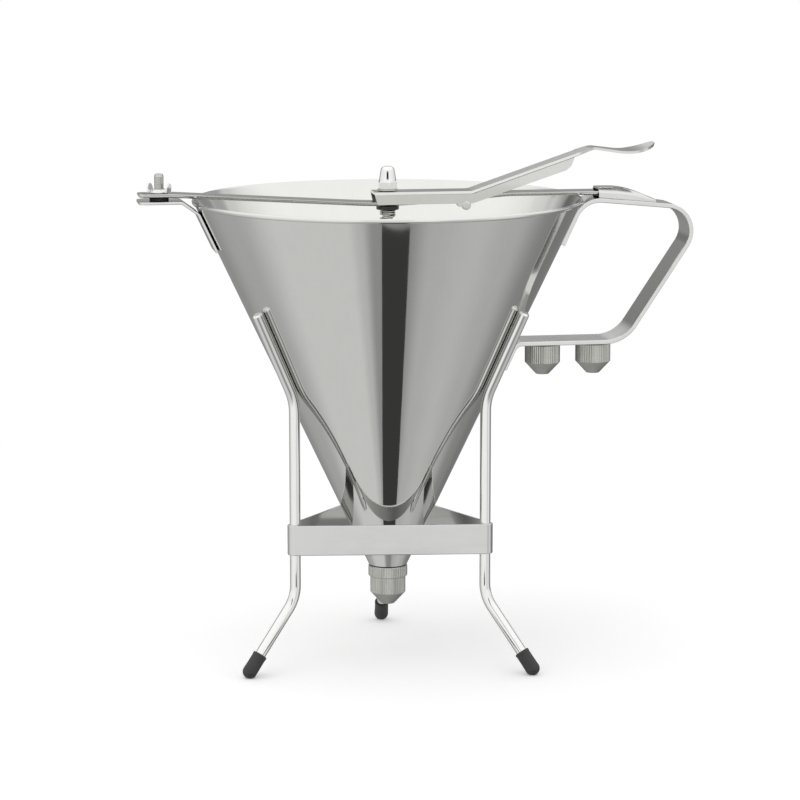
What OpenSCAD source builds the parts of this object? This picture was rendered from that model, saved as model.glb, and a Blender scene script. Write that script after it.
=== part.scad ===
// Batter dispenser: a steel funnel with a lever valve, resting in a wire stand.
// Units are millimetres. The origin is the centre of the nozzle's mouth, on the funnel's axis.
// +Z is up and +X points to the handle. The table lies below the origin.

/* [Funnel] */
// Outer diameter over the rolled rim
rim_d = 180; // [165:1:195]
// Height of the rolled rim's centre
rim_z = 189.7; // [180:0.1:200]
// Thickness of the funnel's sheet
wall = 0.8; // [0.6:0.1:1.2]
// Diameter of the rolled rim's bead
bead_d = 2.2; // [1.8:0.1:3]
// Outer diameter of the cone's small end
spout_d = 18; // [17:0.5:20]

/* [Outlet] */
// Diameter of the outlet thread
thread_d = 11.4; // [10.6:0.1:12]
// Bore of the threaded spigot
spigot_bore = 8.6; // [8:0.1:9]
// Height of the sloping head that is welded into the cone
spigot_head_h = 3.5; // [2:0.5:6]
// Outer diameter of the knurled collar ring
collar_d = 18.3; // [18:0.1:19.5]
// Height of the collar ring
collar_h = 5.2; // [4:0.1:7]
// Thickness of the seal between the collar ring and the cone
seal_t = 0.5; // [0.4:0.1:0.8]
// Thickness of the gasket inside a nozzle
gasket_t = 0.9; // [0.5:0.1:1.2]

/* [Nozzles] */
// Outer diameter of a nozzle
nozzle_d = 16.5; // [15:0.1:16.8]
// Height of a nozzle
nozzle_h = 14.2; // [13:0.1:16]
// Height of a nozzle's tapered end
nozzle_taper_h = 5.6; // [4:0.1:6]
// Outer diameter at a nozzle's tip
nozzle_tip_d = 6.6; // [6:0.1:8]
// Outlet bore of the fitted nozzle
outlet_d = 5; // [3:0.5:5.5]
// Outlet bore of the inner spare nozzle
spare_inner_outlet_d = 4; // [3:0.5:5.5]
// Outlet bore of the outer spare nozzle
spare_outer_outlet_d = 3; // [3:0.5:5.5]
// Length of the outlet bore
outlet_len = 3.5; // [2:0.1:4]
// Height of the gasket's seat above a nozzle's tip
gasket_seat_h = 6.6; // [6:0.1:7.5]
// Depth of the knurling
knurl_depth = 0.35; // [0.2:0.05:0.5]
// Number of ridges round the knurling
knurl_count = 48; // [36:4:60]

/* [Valve] */
// Diameter of the valve rod
rod_d = 5; // [4:0.1:5.2]
// Diameter of the stopper at the rod's foot
stopper_d = 6.8; // [6.4:0.1:7.4]
// Length of the stopper
stopper_len = 14; // [10:0.5:20]
// Wire diameter of the return spring
spring_wire = 1; // [0.7:0.1:1.1]
// Coils of the return spring that work
spring_coils = 8; // [6:1:9]
// Coils that lie closed at each end of the spring
closed_coils = 2; // [1:1:3]
// Length of the spring as fitted
spring_len = 30; // [26:1:40]
// Diameter of the collar that stops the spring
spring_stop_d = 9.5; // [8.5:0.1:11]
// Height of the collar that stops the spring
spring_stop_h = 4; // [3:0.5:6]
// Flange diameter of the rod's guide bush
guide_flange_d = 10.5; // [9:0.1:11.5]
// Flange thickness of the rod's guide bush
guide_flange_h = 1.9; // [1:0.1:2.5]
// Wall of the guide bush where it passes the crossbar
guide_wall = 0.8; // [0.6:0.1:1]
// Width across the flats of the cap nut
cap_nut_flats = 8; // [7.5:0.1:9]
// Height of the cap nut
cap_nut_h = 10.5; // [9:0.1:13]
// Height of the cap nut's hexagon
cap_nut_hex_h = 3.9; // [3:0.1:5]
// Thickness of the washer under the cap nut
nut_washer_h = 0.6; // [0.5:0.1:1]

/* [Crossbar] */
// Width of the crossbar
bar_w = 12; // [11:0.1:13]
// Thickness of the crossbar
bar_t = 1.8; // [1.5:0.1:2]
// Height of the crossbar's top face at the wing nut
bar_left_z = 194.7; // [194.4:0.1:195.2]
// Height at which the top faces of its two slopes would meet
bar_low_z = 188.7; // [188:0.1:189.2]
// Height of the crossbar's top face inside the hood
bar_right_z = 192.9; // [192.7:0.1:193.1]
// Length of the crossbar past the clamping stud
bar_overhang = 9.8; // [8:0.1:12]
// Distance from the axis at which the right slope levels off
bar_level_x = 56; // [50:1:60]

/* [Clamp] */
// Distance from the rim to the clamping stud
stud_gap = 15.2; // [14:0.1:17]
// Diameter of the clamping stud
stud_d = 4.5; // [4:0.1:5]
// Height of the stud's top
stud_top_z = 203.5; // [202:0.5:208]
// Width of the ear strip
ear_w = 19; // [12:0.5:20]
// Thickness of the ear strip
ear_t = 1.2; // [1:0.1:1.4]
// Height of the ear strip's level top face
ear_z = 191.4; // [191:0.1:191.6]
// Distance from the rim at which the ear strip bends down
ear_bend_gap = 5.5; // [5:0.1:7]
// Drop from the rim to the point where the ear strip meets the cone
ear_drop = 4.3; // [4:0.1:6]
// Height of the ear strip's lower end on the cone
ear_end_z = 168; // [160:1:174]
// Diameter of the washer between ear strip and crossbar
ear_washer_d = 8.8; // [8:0.1:10]
// Diameter of the wing nut's base
wing_base_d = 8.8; // [8:0.1:10]
// Height of the wing nut's wings
wing_h = 4.4; // [4:0.1:7]
// Width of one wing
wing_w = 5; // [4:0.5:8]
// Turn of the wing nut as tightened
wing_turn = 150; // [0:1:180]

/* [Handle] */
// Width of the handle strip
strip_w = 20.5; // [18:0.5:24]
// Thickness of the handle strip
strip_t = 2; // [1.5:0.1:2.2]
// Height of the handle strip's top face at the hood's mouth
handle_top_z = 190; // [189.4:0.1:190.2]
// Fall of the handle's upper run
handle_fall = 5.4; // [4:0.1:8]
// Lean of the grip from upright
grip_lean = 33.4; // [30:0.1:38]
// Distance from the rim, outwards, at which the grip's line meets the lower run
grip_foot_gap = 20; // [18:0.5:26]
// Height of the lower run's underside
handle_low_z = 121.7; // [115:0.1:128]
// Height of the upper tab's end on the cone
upper_tab_z = 168.5; // [160:0.5:174]
// Length of the lower tab down the cone
lower_tab_len = 13; // [8:0.5:18]
// Distance from the cone to the middle of the inner spare nozzle
spare_gap = 15.9; // [14.5:0.1:17]
// Distance between the two spare nozzles
spare_pitch = 24.1; // [20:0.1:26]
// Length of the studs that hold the spare nozzles
spare_stud_len = 7; // [5:0.1:7.2]

/* [Hood] */
// Distance from the rim to the hood's open mouth
hood_gap = 8; // [7:0.1:9]
// Height of the hood's top
hood_top_z = 194.5; // [194.4:0.1:197]
// Length of the hood's level top
hood_flat_len = 6; // [5:0.5:12]
// Length of the whole hood
hood_len = 27; // [24:0.5:30]
// Thickness of the hood's sheet
hood_t = 1; // [0.8:0.1:1]
// Depth to which the crossbar reaches into the hood
hood_hold = 8; // [6:0.5:9]

/* [Lever] */
// Outer width of the lever's channel
lever_w = 15; // [14.6:0.1:16]
// Thickness of the lever's sheet
lever_t = 1.2; // [1:0.1:1.2]
// Height of the lever's level top face
lever_top_z = 194; // [193.8:0.1:195]
// Depth of the lever's channel
lever_depth = 5.7; // [5:0.1:6]
// Reach of the lever past the rod
lever_tail = 8; // [7.5:0.1:12]
// Distance from the axis at which the lever's arm turns up
arm_bend_x = 38.3; // [38:0.1:42]
// Rise of the lever's arm
arm_rise = 18.7; // [16:0.1:22]
// Distance from the axis to the crest before the thumb pad
crest_x = 95.5; // [90:0.5:98]
// Distance from the axis at which the channel's sides run out
flange_end_x = 88; // [80:0.5:89]
// Fall of the thumb pad after the crest
pad_fall = 8; // [4:0.5:10]
// Rise of the thumb pad's tip
pad_rise = 28; // [20:1:32]
// Length of the thumb pad from the crest to its low point
pad_run = 21; // [19:0.5:24]
// Length of the thumb pad's upturned end
pad_tip_len = 10; // [10:0.5:12]
// Width of the thumb pad
pad_w = 20; // [17:0.5:20.5]
// Width of the neck before the thumb pad
neck_w = 11.5; // [10:0.5:13]
// Distance from the axis to the lever's pivot
pivot_x = 35.4; // [33:0.1:36]
// Diameter of the pivot pin
pivot_d = 2.2; // [2:0.1:2.4]
// Wall of the pivot's barrel and lugs
pivot_wall = 0.8; // [0.7:0.1:1]

/* [Stand] */
// Height of the nozzle's mouth above the table
table_drop = 26; // [22:0.5:40]
// Diameter of the stand's wire
wire_d = 5; // [4:0.1:6]
// Distance from the axis to the upright part of a leg
leg_r = 50.5; // [46:0.5:54]
// Height of a leg's upper end above the nozzle's mouth
leg_top_z = 142; // [130:1:155]
// Splay of a leg's foot from upright
foot_splay = 37.8; // [30:0.2:42]
// Distance from the axis to the point where a foot stands
foot_r = 75; // [70:0.5:85]
// Bend radius at the top of a leg's upright part
knee_bend_r = 25; // [12:1:40]
// Bend radius at the foot of a leg's upright part
ankle_bend_r = 18; // [10:1:24]
// Turn of the stand under the funnel
stand_turn = -6.5; // [-12:0.5:12]
// Height of the triangular band
band_h = 14; // [10:0.5:20]
// Thickness of the triangular band
band_t = 1; // [0.8:0.1:1.5]
// Height of the band's lower edge above the nozzle's mouth
band_z = 29; // [24:0.5:40]
// Outer diameter of a foot cap
cap_d = 6.8; // [6.6:0.1:8]
// Length of a foot cap
cap_len = 12.5; // [9:0.5:18]
// Depth to which a foot cap is flattened where it stands
cap_flat = 0.35; // [0.2:0.05:0.6]

/* [Fits] */
// Radial clearance of a shaft that turns or slides
running = 0.06; // [0.04:0.01:0.1]
// Clearance between pieces that are joined and don't move
seated = 0.05; // [0.03:0.01:0.1]
// Clearance between bodies that pass each other
passing = 0.3; // [0.25:0.05:0.4]
// Size of the small bevel on edges
bevel = 0.4; // [0.2:0.1:0.5]

/* [Hidden] */
$fn = 64;

// Outlet stack, from the nozzle's mouth upwards
collar_recess_h = 1;
collar_z = nozzle_h - collar_recess_h;
seal_z = collar_z + collar_h + seated;
cone_z = seal_z + seal_t + seated;
gasket_z = gasket_seat_h + seated;
spigot_end_z = gasket_z + gasket_t + seated;
throat_z = gasket_seat_h - passing;

// Slope of the cone and its outer radius at a height
rim_wall_r = rim_d / 2 - bead_d / 2 + wall / 2;
cone_slope = (rim_wall_r - spout_d / 2) / (rim_z - cone_z);
cone_angle = atan(cone_slope);
wall_across = wall / cos(cone_angle);
function cone_r(z) = spout_d / 2 + cone_slope * (z - cone_z);

// Distance from the axis to the middle of a piece that lies on the cone
function on_cone_r(z, half, gap) = cone_r(z) + (half + gap) / cos(cone_angle);

// Places outside the rim
rim_r = rim_d / 2;
hood_x = rim_r + hood_gap;
grip_foot_x = rim_r + grip_foot_gap;
ear_bend_x = rim_r + ear_bend_gap;
stud_x = rim_r + stud_gap;
bar_left_x = stud_x + bar_overhang;

// Leg: the upper length lies along the cone, the middle one is upright
wire_r = wire_d / 2;
leg_top_r = on_cone_r(leg_top_z, wire_r, passing);
knee_z = leg_top_z - (leg_top_r - leg_r) / cone_slope;
toe_z = cap_d / 2 - cap_flat - table_drop;
ankle_z = toe_z + (foot_r - leg_r) / tan(foot_splay);
leg_points = [[leg_top_r, leg_top_z], [leg_r, knee_z], [leg_r, ankle_z], [foot_r, toe_z]];
leg_angles = [210 + stand_turn, 330 + stand_turn, 90 + stand_turn];

// Crossbar, by its middle plane
bar_mid = bar_t / 2;
bar_bend_r = 250;
bar_end_bend_r = 60;
bar_left_level = 15;
bar_right_end_x = hood_x + hood_hold;
bar_points = [
    [-bar_left_x, bar_left_z - bar_mid], [-(bar_left_x - bar_left_level), bar_left_z - bar_mid],
    [0, bar_low_z - bar_mid],
    [bar_level_x, bar_right_z - bar_mid], [bar_right_end_x, bar_right_z - bar_mid]
];
bar_bends = [bar_end_bend_r, bar_bend_r, bar_end_bend_r];
bar_low_turn = turn_at(bar_points, 2);
bar_centre_z = bar_low_z - bar_mid + bar_bend_r * (1 / cos(bar_low_turn / 2) - 1);
bar_slope = heading(bar_points[2], bar_points[3]);
function bar_under_z(x) = bar_low_z - bar_t / cos(bar_slope) + x * tan(bar_slope);

// Lever pivot, under the crossbar
barrel_r = pivot_d / 2 + running + pivot_wall;
pivot_z = bar_under_z(pivot_x) - (barrel_r + seated) / cos(bar_slope);
lug_r = pivot_d / 2 + pivot_wall + bevel;
lever_inner_w = lever_w - 2 * lever_t;
barrel_len = lever_inner_w - 2 * passing;
rivet_head_r = pivot_d / 2 + pivot_wall;
rivet_head_h = 0.7;
lever_travel = 10;

// Lever, by the middle plane of its sheet
web_z = lever_top_z - lever_t / 2;
side_drop = lever_depth - lever_t / 2;
crest_z = web_z + (crest_x - arm_bend_x) * tan(arm_rise);
pad_low_x = crest_x + pad_run;
pad_low_z = crest_z - pad_run * tan(pad_fall);
pad_tip_x = pad_low_x + pad_tip_len * cos(pad_rise);
pad_tip_z = pad_low_z + pad_tip_len * sin(pad_rise);
lever_points = [
    [-lever_tail, web_z], [arm_bend_x, web_z], [crest_x, crest_z],
    [pad_low_x, pad_low_z], [pad_tip_x, pad_tip_z]
];
lever_bends = [6, 8, 30];
side_bend_x = arm_bend_x + side_drop * tan(arm_rise / 2);
side_low_z = web_z - side_drop;
side_taper = 8;
lug_neck_h = side_low_z + bevel - pivot_z;
slot_w = rod_d + 2 * passing;
slot_shift = (lever_top_z - pivot_z) * sin(lever_travel) + pivot_x * (1 - cos(lever_travel));
neck_x = crest_x + bevel;

// Valve train, along the axis
guide_top_z = bar_centre_z + bar_mid + bevel;
guide_flange_z = bar_centre_z - bar_mid - seated - guide_flange_h;
guide_sleeve_r = rod_d / 2 + running + guide_wall;
spring_top_z = guide_flange_z - seated;
spring_low_z = spring_top_z - spring_len;
spring_inner_r = rod_d / 2 + running + 0.2;
spring_coil_r = spring_inner_r + spring_wire / 2;
stop_z = spring_low_z - seated - spring_stop_h;
washer_z = lever_top_z + passing;
cap_nut_z = washer_z + nut_washer_h + seated;
cap_nut_bore_h = cap_nut_h - 2;
rod_top_z = cap_nut_z + cap_nut_bore_h - bevel;
throat_slope = (spigot_bore - outlet_d) / 2 / (throat_z - outlet_len);
stopper_low_z = outlet_len + passing;
stopper_tip_r = outlet_d / 2 - passing + passing * throat_slope - seated;
stopper_full_z = stopper_low_z + (stopper_d / 2 - stopper_tip_r) / throat_slope;
stopper_top_z = stopper_low_z + stopper_len;
stopper_socket_z = stopper_low_z + 6;

// Handle strip, by its middle plane
strip_mid = strip_t / 2;
strip_wall_x = on_cone_r(0, strip_mid, seated);
function strip_on_cone(z) = [strip_wall_x + cone_slope * z, z];
upper_run_z = handle_top_z - strip_mid / cos(handle_fall);
function upper_run(x) = upper_run_z - (x - hood_x) * tan(handle_fall);
upper_corner_z = (upper_run(0) - strip_wall_x * tan(handle_fall)) / (1 + cone_slope * tan(handle_fall));
lower_run_z = handle_low_z + strip_mid;
grip_top_x = (upper_run(0) - lower_run_z + grip_foot_x / tan(grip_lean))
    / (1 / tan(grip_lean) + tan(handle_fall));
handle_points = [
    strip_on_cone(upper_tab_z), strip_on_cone(upper_corner_z),
    [grip_top_x, upper_run(grip_top_x)], [grip_foot_x, lower_run_z],
    strip_on_cone(lower_run_z), strip_on_cone(lower_run_z - lower_tab_len * cos(cone_angle))
];
handle_bends = [12, 12, 17, 4];
spare_inner_x = cone_r(handle_low_z) + spare_gap;
spare_outer_x = spare_inner_x + spare_pitch;
spare_z = handle_low_z - passing - nozzle_h;

// Ear strip, by its middle plane
ear_mid = ear_t / 2;
ear_meet_z = rim_z - ear_drop;
ear_points = [
    [-bar_left_x, ear_z - ear_mid], [-ear_bend_x, ear_z - ear_mid],
    [-on_cone_r(ear_meet_z, ear_mid, seated), ear_meet_z],
    [-on_cone_r(ear_end_z, ear_mid, seated), ear_end_z]
];
ear_bends = [3, 3];
end_corner_r = 3;
ear_washer_h = bar_left_z - bar_t - ear_z - 2 * seated;

// Hood over the handle's upper run
hood_w = bar_w + 2 * (passing + hood_t);
hood_corner_r = 2.4;
hood_steps = 8;
function hood_foot_z(x) = upper_run(x) + strip_mid / cos(handle_fall) + seated;
// Share of the hood's height that is left after a share of its slope
function hood_fall(way) = pow(cos(90 * way), 1.2);

// Height of the knurling's tips that is turned off
knurl_tip = 0.06;

// Gap at the end of a straight, and the swell of the collar that bridges it
seam = 0.03;
seam_scale = 1.005;

// Direction from one point to the next, in the XZ plane
function heading(a, b) = atan2(b[1] - a[1], b[0] - a[0]);
function half_turn(a) = a > 180 ? a - 360 : a < -180 ? a + 360 : a;
function turn_at(p, i) = half_turn(heading(p[i], p[i + 1]) - heading(p[i - 1], p[i]));
// Length that a bend takes from each of the two straights that it joins
function bend_trim(p, bends, i) =
    i == 0 || i == len(p) - 1 ? 0 : bends[i - 1] * tan(abs(turn_at(p, i)) / 2);
function towards(a, b, d) = a + (b - a) / norm(b - a) * d;

// A bar or wire that follows points in the XZ plane, with true arcs at its bends.
// The child is its cross-section: x lies across the bend and y along the bend's axis.
// Each straight stops a seam short of a bend, and a collar bridges it to make one solid.
module bent_bar(points, bends) {
    for (i = [0 : len(points) - 2]) {
        start = towards(points[i], points[i + 1], bend_trim(points, bends, i));
        run = norm(points[i + 1] - start) - bend_trim(points, bends, i + 1);
        low = i == 0 ? 0 : seam;
        high = i == len(points) - 2 ? run : run - seam;
        translate([start[0], 0, start[1]])
            rotate([0, 90 - heading(points[i], points[i + 1]), 0]) {
                translate([0, 0, low])
                    linear_extrude(high - low)
                        children();
                for (at = [if (low > 0) 0, if (high < run) run])
                    translate([0, 0, at])
                        linear_extrude(4 * seam, center = true)
                            scale(seam_scale)
                                children();
            }
    }
    for (i = [1 : len(points) - 2]) {
        turn = turn_at(points, i);
        into = heading(points[i - 1], points[i]);
        start = towards(points[i], points[i - 1], bend_trim(points, bends, i));
        centre = start + bends[i - 1] * sign(turn) * [-sin(into), cos(into)];
        translate([centre[0], 0, centre[1]])
            rotate([90, 0, 0])
                rotate([0, 0, turn > 0 ? into - 90 : into + 90 + turn])
                    rotate_extrude(angle = abs(turn))
                        translate([bends[i - 1], 0])
                            children();
    }
}

// Cross-section of a flat strip with its four edges bevelled
module strip_section(t, w, edge) {
    polygon([
        [-t / 2, -w / 2 + edge], [-t / 2 + edge, -w / 2], [t / 2 - edge, -w / 2], [t / 2, -w / 2 + edge],
        [t / 2, w / 2 - edge], [t / 2 - edge, w / 2], [-t / 2 + edge, w / 2], [-t / 2, w / 2 - edge]
    ]);
}

// A plate whose outline is drawn in the XZ plane, centred across Y
module side_plate(width) {
    rotate([90, 0, 0])
        linear_extrude(width, center = true)
            children();
}

// Outline of a knurled round: ridges all the way round, whose tips the turned profile cuts off
function knurl_points(r) = [
    for (i = [0 : 2 * knurl_count - 1])
        (i % 2 == 0 ? r + knurl_tip : r - knurl_depth)
            * [cos(180 * i / knurl_count), sin(180 * i / knurl_count)]
];

// A knurled round, cut to the turned profile that is given as its child
module knurled(r, height) {
    intersection() {
        linear_extrude(height)
            polygon(knurl_points(r));
        rotate_extrude()
            children();
    }
}

// A tall block that rounds the corners of a strip's end at -X
module end_rounder(end_x, width) {
    reach = 4 * rim_d;
    linear_extrude(reach, center = true) {
        translate([-end_x + end_corner_r, -width / 2])
            square([reach, width]);
        translate([-end_x, -width / 2 + end_corner_r])
            square([end_corner_r, width - 2 * end_corner_r]);
        for (side = [-1, 1])
            translate([-end_x + end_corner_r, side * (width / 2 - end_corner_r)])
                circle(end_corner_r);
    }
}

// Stand -------------------------------------------------------------------

module leg(angle) {
    color("gainsboro")
        rotate([0, 0, angle])
            bent_bar(leg_points, [knee_bend_r, ankle_bend_r])
                circle(wire_r);
}

module foot_cap(angle) {
    table_size = 2 * cap_len;
    color("#262626")
        rotate([0, 0, angle])
            difference() {
                translate([foot_r, 0, toe_z])
                    rotate([0, -foot_splay, 0])
                        difference() {
                            union() {
                                sphere(cap_d / 2);
                                cylinder(h = cap_len - cap_d / 2, d = cap_d);
                            }
                            translate([0, 0, -seated])
                                cylinder(h = cap_len, r = wire_r + seated);
                        }
                translate([foot_r - table_size / 2, -table_size / 2, -table_drop - table_size])
                    cube(table_size);
            }
}

// Outline of the triangle that encloses the three legs with radius r round each
module triangle_outline(r) {
    for (angle = [0, 120, 240])
        rotate(angle)
            translate([leg_r, 0])
                circle(r);
    polygon([
        for (angle = [0, 120, 240], side = [-60, 60])
            leg_r * [cos(angle), sin(angle)] + r * [cos(angle + side), sin(angle + side)]
    ]);
}

module stand_band() {
    color("silver")
        rotate([0, 0, leg_angles[2]])
            translate([0, 0, band_z])
                linear_extrude(band_h)
                    difference() {
                        triangle_outline(wire_r + seated + band_t);
                        triangle_outline(wire_r + seated);
                    }
}

// Funnel ------------------------------------------------------------------

module funnel_cone() {
    color("silver")
        rotate_extrude() {
            polygon([
                [cone_r(cone_z) - wall_across, cone_z], [cone_r(cone_z), cone_z],
                [rim_wall_r, rim_z], [rim_wall_r - wall_across, rim_z]
            ]);
            translate([rim_d / 2 - bead_d / 2, rim_z])
                circle(d = bead_d);
        }
}

module outlet_spigot() {
    head_gap = wall_across + seated;
    head_z = cone_z + spigot_head_h;
    color("silver")
        rotate_extrude()
            polygon([
                [spigot_bore / 2, spigot_end_z], [thread_d / 2, spigot_end_z], [thread_d / 2, cone_z],
                [cone_r(cone_z) - head_gap, cone_z], [cone_r(head_z) - head_gap, head_z],
                [spigot_bore / 2, cone_z + wall]
            ]);
}

module collar_seal() {
    color("#262626")
        rotate_extrude()
            translate([thread_d / 2 + seated, seal_z])
                square([collar_d / 2 - bevel - thread_d / 2 - seated, seal_t]);
}

module collar_ring() {
    recess_r = nozzle_d / 2 + passing;
    bore_r = thread_d / 2 + running;
    color("silver")
        translate([0, 0, collar_z])
            knurled(collar_d / 2, collar_h)
                polygon([
                    [recess_r, 0], [collar_d / 2 - bevel, 0], [collar_d / 2, bevel],
                    [collar_d / 2, collar_h - bevel], [collar_d / 2 - bevel, collar_h],
                    [bore_r, collar_h], [bore_r, collar_recess_h + passing],
                    [recess_r, collar_recess_h + passing]
                ]);
}

// A nozzle with its tip at z = 0: knurled above, tapered below, with a stepped bore
module nozzle_body(outlet) {
    color("silver")
        knurled(nozzle_d / 2, nozzle_h)
            polygon([
                [outlet / 2, 0], [nozzle_tip_d / 2, 0], [nozzle_d / 2, nozzle_taper_h],
                [nozzle_d / 2, nozzle_h - bevel], [nozzle_d / 2 - bevel, nozzle_h],
                [thread_d / 2 + running, nozzle_h], [thread_d / 2 + running, gasket_seat_h],
                [spigot_bore / 2, gasket_seat_h], [spigot_bore / 2, throat_z], [outlet / 2, outlet_len]
            ]);
}

module nozzle_gasket() {
    color("white")
        rotate_extrude()
            translate([spigot_bore / 2, gasket_z])
                square([thread_d / 2 - spigot_bore / 2, gasket_t]);
}

// Handle ------------------------------------------------------------------

module handle_strip() {
    color("lightgray")
        bent_bar(handle_points, handle_bends)
            strip_section(strip_t, strip_w, bevel);
}

// The space under a skin of the hood, drawn inwards by the given amount
module hood_form(inset) {
    top_z = hood_top_z - inset;
    fall_x = hood_x + hood_flat_len - inset / 2;
    end_x = hood_x + hood_len - 3 * inset;
    end_z = hood_foot_z(end_x);
    round_r = hood_corner_r - inset;
    half_w = hood_w / 2 - inset;
    intersection() {
        side_plate(hood_w)
            polygon([
                [hood_x - inset, hood_foot_z(hood_x) - inset], [hood_x - inset, top_z],
                for (way = [0 : 1 / hood_steps : 1])
                    [fall_x + (end_x - fall_x) * way, end_z + (top_z - end_z) * hood_fall(way)],
                [end_x, end_z - inset]
            ]);
        translate([hood_x - inset, 0, 0])
            rotate([90, 0, 90])
                linear_extrude(hood_len + inset) {
                    translate([-half_w, 0])
                        square([2 * half_w, top_z - round_r]);
                    translate([-half_w + round_r, 0])
                        square([2 * (half_w - round_r), top_z]);
                    for (side = [-1, 1])
                        translate([side * (half_w - round_r), top_z - round_r])
                            circle(round_r);
                }
    }
}

module bar_hood() {
    color("lightgray")
        difference() {
            hood_form(0);
            hood_form(hood_t);
        }
}

module spare_nozzle_studs() {
    color("silver")
        for (x = [spare_inner_x, spare_outer_x])
            translate([x, 0, handle_low_z - seated - spare_stud_len])
                cylinder(h = spare_stud_len, d = thread_d);
}

module spare_nozzle(x, outlet) {
    translate([x, 0, spare_z])
        nozzle_body(outlet);
}

// Clamp -------------------------------------------------------------------

module ear_strip() {
    color("lightgray")
        difference() {
            intersection() {
                bent_bar(ear_points, ear_bends)
                    strip_section(ear_t, ear_w, bevel);
                end_rounder(bar_left_x, ear_w);
            }
            translate([-stud_x, 0, ear_z - ear_w / 2])
                cylinder(h = ear_w, r = stud_d / 2 + seated);
        }
}

module clamp_stud() {
    stud_low_z = ear_z - ear_t;
    color("silver")
        translate([-stud_x, 0, 0])
            rotate_extrude()
                polygon([
                    [0, stud_low_z], [stud_d / 2, stud_low_z], [stud_d / 2, stud_top_z - bevel],
                    [stud_d / 2 - bevel, stud_top_z], [0, stud_top_z]
                ]);
}

module ear_washer() {
    color("#262626")
        translate([-stud_x, 0, ear_z + seated])
            difference() {
                cylinder(h = ear_washer_h, d = ear_washer_d);
                translate([0, 0, -seated])
                    cylinder(h = ear_washer_h + 2 * seated, r = stud_d / 2 + seated);
            }
}

// Pressed wing nut: a round base, a threaded neck and two wings bent up from the base
module wing_nut() {
    base_h = 1;
    neck_h = 1.8;
    neck_wall = 1;
    wing_t = 1;
    wing_lean = 8;
    bore_r = stud_d / 2 + running;
    color("silver")
        translate([-stud_x, 0, bar_left_z + 2 * seated])
            rotate([0, 0, wing_turn])
                difference() {
                    union() {
                        cylinder(h = base_h, d = wing_base_d);
                        cylinder(h = neck_h, r = bore_r + neck_wall);
                        for (side = [-1, 1])
                            intersection() {
                                translate([side * wing_base_d / 2, 0, 0])
                                    rotate([0, side * wing_lean, 0])
                                        wing_blade(wing_t);
                                cylinder(h = 2 * wing_h, d = 3 * wing_base_d);
                            }
                    }
                    translate([0, 0, -base_h])
                        cylinder(h = 2 * stud_top_z, r = bore_r);
                }
}

// One wing, standing on the XY plane: straight sides and a round top
module wing_blade(t) {
    rotate([0, 90, 0])
        linear_extrude(t, center = true) {
            translate([-(wing_h - wing_w / 2), -wing_w / 2])
                square([wing_h - wing_w / 2 + bevel, wing_w]);
            translate([-(wing_h - wing_w / 2), 0])
                circle(d = wing_w);
        }
}

// Crossbar ----------------------------------------------------------------

module crossbar() {
    tall = 2 * bar_w;
    color("lightgray")
        difference() {
            intersection() {
                bent_bar(bar_points, bar_bends)
                    strip_section(bar_t, bar_w, bevel);
                end_rounder(bar_left_x, bar_w);
            }
            translate([-stud_x, 0, bar_left_z - bar_w])
                cylinder(h = tall, r = stud_d / 2 + passing);
            translate([0, 0, bar_centre_z - bar_w])
                cylinder(h = tall, r = guide_sleeve_r + seated);
        }
}

module rod_guide() {
    color("#262626")
        rotate_extrude()
            polygon([
                [rod_d / 2 + running, guide_flange_z], [guide_flange_d / 2, guide_flange_z],
                [guide_flange_d / 2, guide_flange_z + guide_flange_h],
                [guide_sleeve_r, guide_flange_z + guide_flange_h],
                [guide_sleeve_r, guide_top_z], [rod_d / 2 + running, guide_top_z]
            ]);
}

// Tube welded under the crossbar, in which the pivot pin turns
module pivot_barrel() {
    color("silver")
        translate([pivot_x, 0, pivot_z])
            side_plate(barrel_len)
                difference() {
                    circle(barrel_r);
                    circle(pivot_d / 2 + running);
                }
}

module pivot_pin() {
    color("silver")
        translate([pivot_x, 0, pivot_z]) {
            side_plate(lever_w + 2 * seated)
                circle(d = pivot_d);
            for (side = [-1, 1])
                translate([0, side * (lever_w / 2 + seated + rivet_head_h / 2), 0])
                    side_plate(rivet_head_h)
                        circle(rivet_head_r);
        }
}

// Lever -------------------------------------------------------------------

// Outline of the lever's sheet seen from above: arm, neck and round thumb pad
module lever_plan() {
    pad_r = pad_w / 2;
    pad_x = pad_tip_x - pad_r;
    lean = asin((pad_r - neck_w / 2) / (pad_x - neck_x));
    shoulder = pad_r * [-sin(lean), cos(lean)];
    translate([-lever_tail, -lever_w / 2])
        square([flange_end_x + lever_tail, lever_w]);
    polygon([
        [flange_end_x, -lever_w / 2], [neck_x, -neck_w / 2],
        [pad_x + shoulder[0], -shoulder[1]], [pad_x + shoulder[0], shoulder[1]],
        [neck_x, neck_w / 2], [flange_end_x, lever_w / 2]
    ]);
    translate([pad_x, 0])
        circle(pad_r);
}

// Outline of the lever's two sides, with the lug that takes the pivot pin
module lever_side() {
    rise = tan(arm_rise);
    low_end_x = flange_end_x - side_taper;
    polygon([
        [-lever_tail, web_z], [arm_bend_x, web_z],
        [flange_end_x, web_z + (flange_end_x - arm_bend_x) * rise],
        [low_end_x, side_low_z + (low_end_x - side_bend_x) * rise],
        [side_bend_x, side_low_z], [-lever_tail + bevel, side_low_z]
    ]);
    translate([pivot_x, pivot_z])
        circle(lug_r);
    translate([pivot_x - lug_r, pivot_z])
        square([2 * lug_r, lug_neck_h]);
}

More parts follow.
